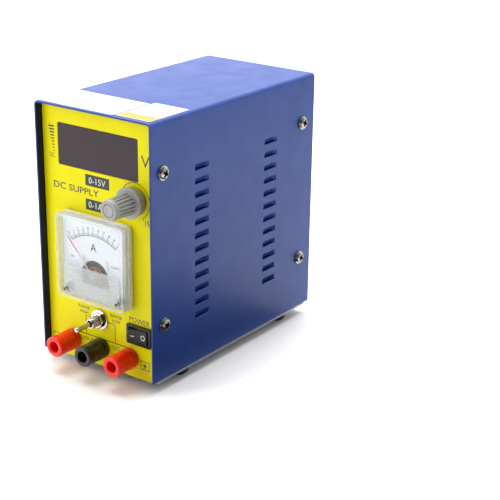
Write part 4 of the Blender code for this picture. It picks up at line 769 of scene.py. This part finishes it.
# Clear acrylic, injection moulded: nearly invisible face on, with a pale milky look in its side walls,
# which begin 23.4 mm off the middle.
clear_acrylic, tree, shader = finish("clear_acrylic_moulded", IOR=1.49, Roughness=0.05)
spot = add_node(tree, "SeparateXYZ", {0: object_place(tree)})
half_face = 23.4 * MM
offsets = []
for axis, middle in ((0, METER_X * MM), (2, foot_line + METER_Z * MM)):
    offset = add_node(tree, "Math", {0: spot.outputs[axis], 1: middle}, operation="SUBTRACT").outputs[0]
    offsets.append(add_node(tree, "Math", {0: offset}, operation="ABSOLUTE").outputs[0])
outward = add_node(tree, "Math", {0: offsets[0], 1: offsets[1]}, operation="MAXIMUM").outputs[0]
veil = add_node(tree, "TexNoise", {"Vector": object_place(tree), "Scale": 1 / (3 * MM), "Detail": 2.0})
shade = blend_colours(tree, spread(tree, veil.outputs[0], 0, 1), linear("#DADEDB"), linear("#D0D4D0"))
tree.links.new(shade, shader.inputs["Base Color"])
milk = spread(tree, outward, 0.08, 0.38, half_face - 0.4 * MM, half_face + 0.2 * MM)
tree.links.new(milk, shader.inputs["Alpha"])
dress("meter_cover", clear_acrylic, "case", 0.45)


def lens_ribs():
    """The ribbed zone behind the cover's face: a sheet of small domes, 0.25 mm times the sum of sin^2 in x,
    1.9 mm apart, and in z, 1.35 mm apart."""
    columns, rows = 129, 113
    x, z = np.meshgrid(np.linspace(-21.2, 21.2, columns), np.linspace(41.2, 59, rows))
    relief = np.sin(np.pi * x / 1.9) ** 2 * 0.25 + np.sin(np.pi * z / 1.35) ** 2 * 0.25
    rim = np.minimum.reduce([x + 21.2, 21.2 - x, z - 41.2, 59 - z]) < 0.05
    relief[rim] = 0
    face = shell_low.y + 1.45 * MM
    front = np.stack([(METER_X + x) * MM, face + (0.55 - relief) * MM, foot_line + z * MM], -1)
    return [(front.reshape(-1, 3), grid_faces(rows, columns))]


# The ribs scatter light, so this part of the same acrylic reads as a whitish veil.
ribbed_acrylic = grain("clear_acrylic_ribbed", ("#E9ECEA", "#DDE1DE"), (0.12, 0.2), 2, 0.5, 0.003,
                       IOR=1.49, Alpha=0.36)
ribs = piece("meter_cover_ribs", lens_ribs(), ribbed_acrylic, "case", 80)
wall = ribs.modifiers.new("sheet", "SOLIDIFY")
wall.thickness = 0.3 * MM
wall.offset = 0
for side in ("left", "right"):
    low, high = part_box("meter_screw_" + side)
    centre = ((low.x + high.x) / 2, shell_low.y + 1.0 * MM, (low.z + high.z) / 2)
    head = (1.45 * MM, 0.6 * MM, 1.6 * MM, 0.2 * MM)
    shank = [(0, 0.05 * MM), (0.95 * MM, 0.05 * MM), (0.95 * MM, -5 * MM), (0, -5 * MM)]
    screw = cross_screw("meter_screw_head_" + side, centre, "front", head, shank, 16)
    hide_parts("meter_screw_" + side)

# ------------------------------------------------------------------------------
# Toggle switch. Chromed bush with a fine thread, a flat washer and a chamfered hex nut, and a polished
# lever that thickens to a rounded tip, in front of a black moulded body.

bush_low, bush_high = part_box("toggle_bush")
toggle_centre = ((bush_low.x + bush_high.x) / 2, PANEL, (bush_low.z + bush_high.z) / 2)
BUSH_REACH = PANEL - bush_low.y
THREAD = 0.75 * MM


def bush_thread(radius, height, around):
    """The outside loses up to 0.28 mm by a triangle wave of height / pitch minus turn, which is a helix."""
    phase = np.mod(height / THREAD - around / (2 * np.pi), 1)
    groove = 1 - np.abs(2 * phase - 1)
    outside = (radius > 2.9 * MM) & (height > 0.3 * MM)
    return radius - np.where(outside, 0.28 * MM * groove, 0), height


bush_line = np.linspace(-1.1 * MM, BUSH_REACH - 0.35 * MM, 80)
bush_profile = np.concatenate([
    [(2.1 * MM, BUSH_REACH), (2.1 * MM, -1.1 * MM)],
    np.stack([np.full(80, 3.0 * MM), bush_line], 1),
    [(2.7 * MM, BUSH_REACH)],
])
# Chrome over brass: a hard, bright mirror with the faintest polishing haze.
chrome = grain("chromed_brass_polished", ("#CBC8C0", "#BAB7AF"), (0.1, 0.2), 3, 0.5, 0.002, Metallic=1.0)
bush_shape = turn(bush_profile, toggle_centre, "front", 64, True, bush_thread)
bush = piece("toggle_threaded_bush", [bush_shape], chrome, "case", 60)
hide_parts("toggle_bush")
washer_line = [(3.25, 0.3), (6.1, 0.3), (6.1, 1.05), (3.25, 1.05)]
washer_profile = soften(np.array(washer_line) * MM, 0.2 * MM, 3, True)
washer_shape = turn(washer_profile, toggle_centre, "front", 96, True)
washer = piece("toggle_flat_washer", [washer_shape], chrome, "case", 35)
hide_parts("toggle_washer")


def hex_nut(centre, facing, across, bore, low_h, high_h):
    """At angle a the flats lie at half the width / cos(angle from the flat's middle), cut back near both ends
    to a cone, which gives the arched chamfers."""
    height = np.linspace(low_h, high_h, 13)
    profile = np.concatenate([[(bore, low_h)], np.stack([np.full(13, 99.0), height], 1), [(bore, high_h)]])

    def flats(radius, level, around):
        off = np.mod(around, np.pi / 3) - np.pi / 6
        flat = across / 2 / np.cos(off)
        cone = across / 2 * 1.02 + np.minimum(level - low_h, high_h - level) * 1.6
        return np.where(radius > 1, np.minimum(flat, cone), radius), level

    return turn(profile, centre, facing, 96, True, flats)


nut_low, nut_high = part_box("toggle_nut")
nut_shape = hex_nut(toggle_centre, "front", 8 * MM, 3.25 * MM, PANEL - nut_high.y, PANEL - nut_low.y)
nut = piece("toggle_hex_nut", [nut_shape], chrome, "case", 25)
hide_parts("toggle_nut")
lever_low, lever_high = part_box("toggle_lever")
pivot_y = lever_high.y - 1.8 * MM
LEVER = pivot_y - lever_low.y
lever_profile = np.concatenate([
    [(0, LEVER)], arc_points((0.35 * MM, LEVER - 1.15 * MM), 1.15 * MM, 80, 5, 8),
    [(1.5 * MM, LEVER - 3 * MM), (1.42 * MM, LEVER - 5 * MM), (1.22 * MM, 3.4 * MM), (1.2 * MM, 1.3 * MM)],
    arc_points((0, 0), 1.75 * MM, 40, -90, 12),
])
lever_centre = (toggle_centre[0], pivot_y, toggle_centre[2])
lever = piece("toggle_bat", [turn(lever_profile, lever_centre, "front", 40)], chrome, "toggle", 60)
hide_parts("toggle_lever")
dress("toggle_body", black_abs, "case", 0.4)

# ------------------------------------------------------------------------------
# Power rocker. A snap-in housing with a rounded bezel and a two-position rocker, moulded in black nylon,
# with pale marks for on and off.

# Moulded nylon: black, smoother than the ABS, with a soft gloss on its edges.
black_nylon = grain("moulded_nylon_black", ("#121213", "#18181A"), (0.22, 0.34), 4, 0.5, 0.003,
                    Specular_IOR_Level=0.32)
dress("rocker_housing", black_nylon, "case", 0.45)
dress("rocker", black_nylon, "power_rocker", 0.35)
ROCKER_X, ROCKER_Z = 28.8, 24.95
ROCKER_VALLEY, ROCKER_CORNER, ROCKER_HALF = 1.3, 2.6, 6.1
rocker_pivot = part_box("rocker_housing")[0].y + 1.0 * MM


def on_rocker(shape):
    """Ink drawn on the panel's plane, laid on the rocker's sloping halves: it rises from the valley to the
    corner with the distance from the middle, and is turned by the rest angle of 10 degrees."""
    points, faces = shape
    rest = math.radians(10)
    depth = points[:, 1] - (PANEL - INK * 0.6)
    u = points[:, 0] - ROCKER_X * MM
    rise = ROCKER_VALLEY * MM + (ROCKER_CORNER - ROCKER_VALLEY) / ROCKER_HALF * np.abs(u)
    y = -rise - INK * 0.6 + depth
    x = ROCKER_X * MM + u * math.cos(rest) - y * math.sin(rest)
    return np.stack([x, rocker_pivot + u * math.sin(rest) + y * math.cos(rest), points[:, 2]], 1), faces


ring = arc_points(on_panel(ROCKER_X + 3.4, ROCKER_Z), 1.35 * MM, 0, 345, 23)
marks = [
    on_rocker(panel_line([(ROCKER_X - 4.6, ROCKER_Z), (ROCKER_X - 2.2, ROCKER_Z)], 0.6)),
    on_rocker(ink_line(ring, 0.5 * MM, PANEL - INK * 0.6, True)),
]
# Hot-stamped foil: a pale grey layer.
mark_foil = grain("hot_stamped_grey", ("#C9C9C6", "#BDBDB9"), (0.4, 0.5), 2, 0.3, 0.001)
piece("rocker_marks", marks, mark_foil, "power_rocker")

# ------------------------------------------------------------------------------
# Binding posts. Nickel-plated studs bored for 4 mm plugs, through moulded collars, with screw caps that
# have a flat front rim and a slight waist. Two are red and the middle one is black.

# Moulded phenolic, red and black: semi-gloss with soft highlights.
post_red = grain("moulded_phenolic_red", ("#F21E05", "#E81A04"), (0.26, 0.36), 5, 0.6, 0.004,
                 Coat_Weight=0.08, Coat_Roughness=0.1)
post_black = grain("moulded_phenolic_black", ("#100F0C", "#171612"), (0.26, 0.36), 5, 0.6, 0.004,
                   Coat_Weight=0.1, Coat_Roughness=0.1)
# Bright nickel over turned brass: slightly warm.
brass_nickel = grain("nickel_plated_brass_turned", ("#C8C2B2", "#B5AF9F"), (0.2, 0.3), 2, 0.3, 0.004,
                     Metallic=1.0)
cap_line = [(3.35, 3.7), (5.75, 3.7), (6.15, 4.1), (6.2, 5.2), (5.95, 8.2), (5.8, 10.2), (5.85, 11.2),
            (6.15, 11.9), (6.2, 15.2), (6.1, 16.4), (5.5, 17.0), (3.9, 17.0), (3.35, 16.6)]
collar_line = [(3.35, -0.6), (4.1, -0.6), (4.1, 0.3), (6.15, 0.3), (6.2, 2.9), (5.85, 3.35), (3.35, 3.35)]
stud_line = [(0, -4.9), (1.95, -4.9), (1.95, 9.7), (2.25, 10), (2.75, 10), (3.0, 9.75), (3.0, -14.7),
             (0, -14.7)]
POSTS = (("left", post_red, "red_plastic"), ("middle", post_black, "black_plastic"),
         ("right", post_red, "red_plastic"))
for place_name, moulding, slot_name in POSTS:
    low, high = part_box("post_stud_" + place_name)
    centre = ((low.x + high.x) / 2, PANEL, (low.z + high.z) / 2)
    cap_shape = turn(soften(np.array(cap_line) * MM, 0.35 * MM, 3, True), centre, "front", 64, True)
    cap = piece("post_screw_cap_" + place_name, [cap_shape], moulding, "cap_" + place_name, 60)
    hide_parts("post_cap_" + place_name)
    collar_shape = turn(soften(np.array(collar_line) * MM, 0.3 * MM, 3, True), centre, "front", 64, True)
    collar = piece("post_insulator_" + place_name, [collar_shape], moulding, "case", 60)
    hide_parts("post_collar_" + place_name)
    stud_shape = turn(np.array(stud_line) * MM, centre, "front", 48)
    stud = piece("post_bored_stud_" + place_name, [stud_shape], brass_nickel, "case", 40)
    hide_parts("post_stud_" + place_name)
    dress("post_nut_" + place_name, brass_nickel, "case", 0.2)

# ------------------------------------------------------------------------------
# Mains inlet. Snapped into the rear wall: a black moulding with three pins and a fuse drawer below them.

dress("mains_inlet", black_nylon, "case", 0.35)
dress("fuse_drawer", black_nylon, "drawer", 0.3)

# ------------------------------------------------------------------------------
# Insides. The transformer's varnished laminations and taped winding, and on the board a sleeved capacitor,
# an extruded heatsink and the power transistor.

# Stacked steel laminations, 0.5 mm each: dark varnish with the sheets' edges as fine stripes front to back.
laminations, tree, shader = finish("varnished_laminations", Metallic=0.7)
sheets = {"Vector": object_place(tree), "Scale": 1 / (0.5 * MM) / 20, "Distortion": 0.3}
stripes = add_node(tree, "TexWave", sheets, bands_direction="Y").outputs[1]
striped = blend_colours(tree, stripes, linear("#55514A"), linear("#2F2D2A"))
tree.links.new(striped, shader.inputs["Base Color"])
tree.links.new(spread(tree, stripes, 0.4, 0.6, 0, 1), shader.inputs["Roughness"])
dress("transformer_core", laminations, "case", 0.3)
# Polyester tape: glossy amber, wrapped in turns.
winding_tape = grain("polyester_tape_amber", ("#C88F2A", "#B57C1E"), (0.2, 0.35), 6, 1.5, 0.03)
dress("transformer_winding", winding_tape, "case", 0.8)
# Shrunk sleeve: dark blue-black and shiny.
sleeve = grain("shrunk_sleeve_black", ("#16181F", "#1D1F28"), (0.15, 0.28), 6, 2, 0.01)
dress("filter_capacitor", sleeve, "case", 0.5)
dress("heatsink", aluminium, "case", 0.2)
dress("power_transistor", black_abs, "case", 0.3)

# ------------------------------------------------------------------------------
# Labels. Two pieces of coated paper stuck on the top: a plain one with faint printed rules, and a smaller
# one with a pale orange band along its front.

# Coated paper: bright white with a faint fibre mottle.
coated_paper = grain("coated_paper_white", ("#D2D2D1", "#CBCBCA"), (0.5, 0.62), 5, 0.4, 0.003,
                     Specular_IOR_Level=0.2)
# Printer's ink, grey and orange: thin and dull.
label_ink = grain("label_ink_grey", ("#A2A3A8", "#ABACB1"), (0.5, 0.6), 3, 0.3, 0.001,
                  Specular_IOR_Level=0.2)
band_ink = grain("label_ink_orange", ("#D69C55", "#CF944D"), (0.5, 0.6), 4, 0.3, 0.001,
                 Specular_IOR_Level=0.2)


def label_sheet(low, high, lift):
    """A sheet on a 25 x 25 grid that lies flat, with its two front corners lifted by lift * (1 - 9 d^2) at
    the distance d from a corner."""
    u, v = np.meshgrid(np.linspace(0, 1, 25), np.linspace(0, 1, 25))
    curl = lift * (np.clip(1 - (u * u + v * v) * 9, 0, 1) + np.clip(1 - ((1 - u) ** 2 + v * v) * 9, 0, 1))
    x = low.x + u * (high.x - low.x)
    y = low.y + v * (high.y - low.y)
    top = np.stack([x, y, cover_high.z + 0.14 * MM + curl], -1).reshape(-1, 3)
    return top, grid_faces(25, 25)


def label_rule(low, face, start, end, depth, wide):
    """A printed rule: a plate 0.02 mm thick on the label's face, from start to end across it."""
    y0, y1 = low.y + depth, low.y + depth + wide
    z0, z1 = face, face + 0.02 * MM
    corners = np.array([(x, y, z) for z in (z0, z1) for y in (y0, y1) for x in (start, end)])
    faces = np.array([(0, 1, 3, 2), (4, 6, 7, 5), (0, 4, 5, 1), (1, 5, 7, 3), (3, 7, 6, 2), (2, 6, 4, 0)])
    return corners, faces


for node in ("white_label", "banded_label"):
    low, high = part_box(node)
    paper = piece(node + "_paper", [label_sheet(low, high, 0.03 * MM)], coated_paper, "case", 60)
    thickness = paper.modifiers.new("paper", "SOLIDIFY")
    thickness.thickness = 0.12 * MM
    thickness.offset = -1
    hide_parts(node)
top_of_label = cover_high.z + 0.15 * MM
low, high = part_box("white_label")
rules = []
for k in range(6):
    end = high.x - (6 + 5 * (k % 3)) * MM
    rules.append(label_rule(low, top_of_label, low.x + 3 * MM, end, (4 + 4.2 * k) * MM, 0.7 * MM))
low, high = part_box("banded_label")
for k in range(3):
    end = high.x - (3 + 3 * k) * MM
    rules.append(label_rule(low, top_of_label, low.x + 3 * MM, end, (15 + 5 * k) * MM, 0.8 * MM))
piece("label_rules", rules, label_ink, "case")
band = [label_rule(low, top_of_label, low.x + 0.6 * MM, high.x - 0.6 * MM, 0.8 * MM, 8 * MM)]
piece("label_band", band, band_ink, "case")

# ------------------------------------------------------------------------------
# Stage. A pale floor, a soft box overhead, a key light from the front left, a black card and the camera.

floor_points = np.array([(-6, -6, 0), (6, -6, 0), (6, 6, 0), (-6, 6, 0)], float)
floor_mesh = bpy.data.meshes.new("floor")
floor_mesh.from_pydata(floor_points, [], [(0, 1, 2, 3)])
floor_paint = grain("matt_white_floor", ("#F7F7F7", "#F4F4F4"), (0.75, 0.85), 400, 40, 0.01)
floor_mesh.materials.append(floor_paint)
floor = bpy.data.objects.new("floor", floor_mesh)
bpy.context.scene.collection.objects.link(floor)


def soft_box(name, place, aim, width, height, power):
    """A rectangular light that looks from its place to the aim."""
    light = bpy.data.lights.new(name, "AREA")
    light.shape = "RECTANGLE"
    light.size = width
    light.size_y = height
    light.energy = power
    made = bpy.data.objects.new(name, light)
    made.location = place
    made.rotation_euler = (Vector(aim) - Vector(place)).to_track_quat("-Z", "Y").to_euler()
    bpy.context.scene.collection.objects.link(made)


soft_box("overhead", (-0.18, 0.2, 1.25), (0, 0, 0.08), 1.0, 1.0, 25)
soft_box("key", (-0.85, -1.05, 0.7), (0, 0, 0.08), 0.8, 0.8, 9)
# A black card flat on the floor to the right keeps the floor's light off the side's lower front. It isn't
# seen, and from below it is clear, so it leaves no shade on the floor.
card_points = np.array([(52, -230, 1), (170, -230, 1), (170, 70, 1), (52, 70, 1)]) * MM
card_mesh = bpy.data.meshes.new("card")
card_mesh.from_pydata(card_points, [], [(0, 1, 2, 3)])
black_felt = grain("black_felt", ("#08080A", "#0C0C0E"), (0.9, 0.95), 20, 1, 0.01)
tree = black_felt.node_tree
underside = add_node(tree, "NewGeometry").outputs["Backfacing"]
clear = add_node(tree, "BsdfTransparent").outputs[0]
felt = tree.nodes["Principled BSDF"].outputs[0]
either = add_node(tree, "MixShader", {0: underside, 1: felt, 2: clear}).outputs[0]
tree.links.new(either, tree.nodes["Material Output"].inputs["Surface"])
card_mesh.materials.append(black_felt)
card = bpy.data.objects.new("card", card_mesh)
card.visible_camera = False
card.visible_shadow = False
bpy.context.scene.collection.objects.link(card)
world = bpy.data.worlds.new("studio")
world.use_nodes = True
tree = world.node_tree
background = tree.nodes["Background"]
background.inputs["Color"].default_value = linear("#FFFFFF")
# A white backdrop behind and to the left of the unit that fades to a dim room on the right and in front.
view = add_node(tree, "TexCoord").outputs["Generated"]
towards_back = {0: view, 1: (-0.54, 0.8, 0.26)}
facing_back = add_node(tree, "VectorMath", towards_back, operation="DOT_PRODUCT").outputs[1]
tree.links.new(spread(tree, facing_back, 0.1, 1.65, -0.6, 0.95), background.inputs["Strength"])
bpy.context.scene.world = world
bpy.context.scene.view_settings.view_transform = "Standard"

camera_data = bpy.data.cameras.new("camera")
camera_data.sensor_width = 36
camera_data.lens = 93.18
camera = bpy.data.objects.new("camera", camera_data)
camera.location = (463.98 * MM, -567.81 * MM, 330.92 * MM)
forward = Vector((-0.54581, 0.76176, -0.34901))
roll = Quaternion((0, 0, 1), math.radians(0.849))
camera.rotation_mode = "QUATERNION"
camera.rotation_quaternion = forward.to_track_quat("-Z", "Y") @ roll
bpy.context.scene.collection.objects.link(camera)
bpy.context.scene.camera = camera
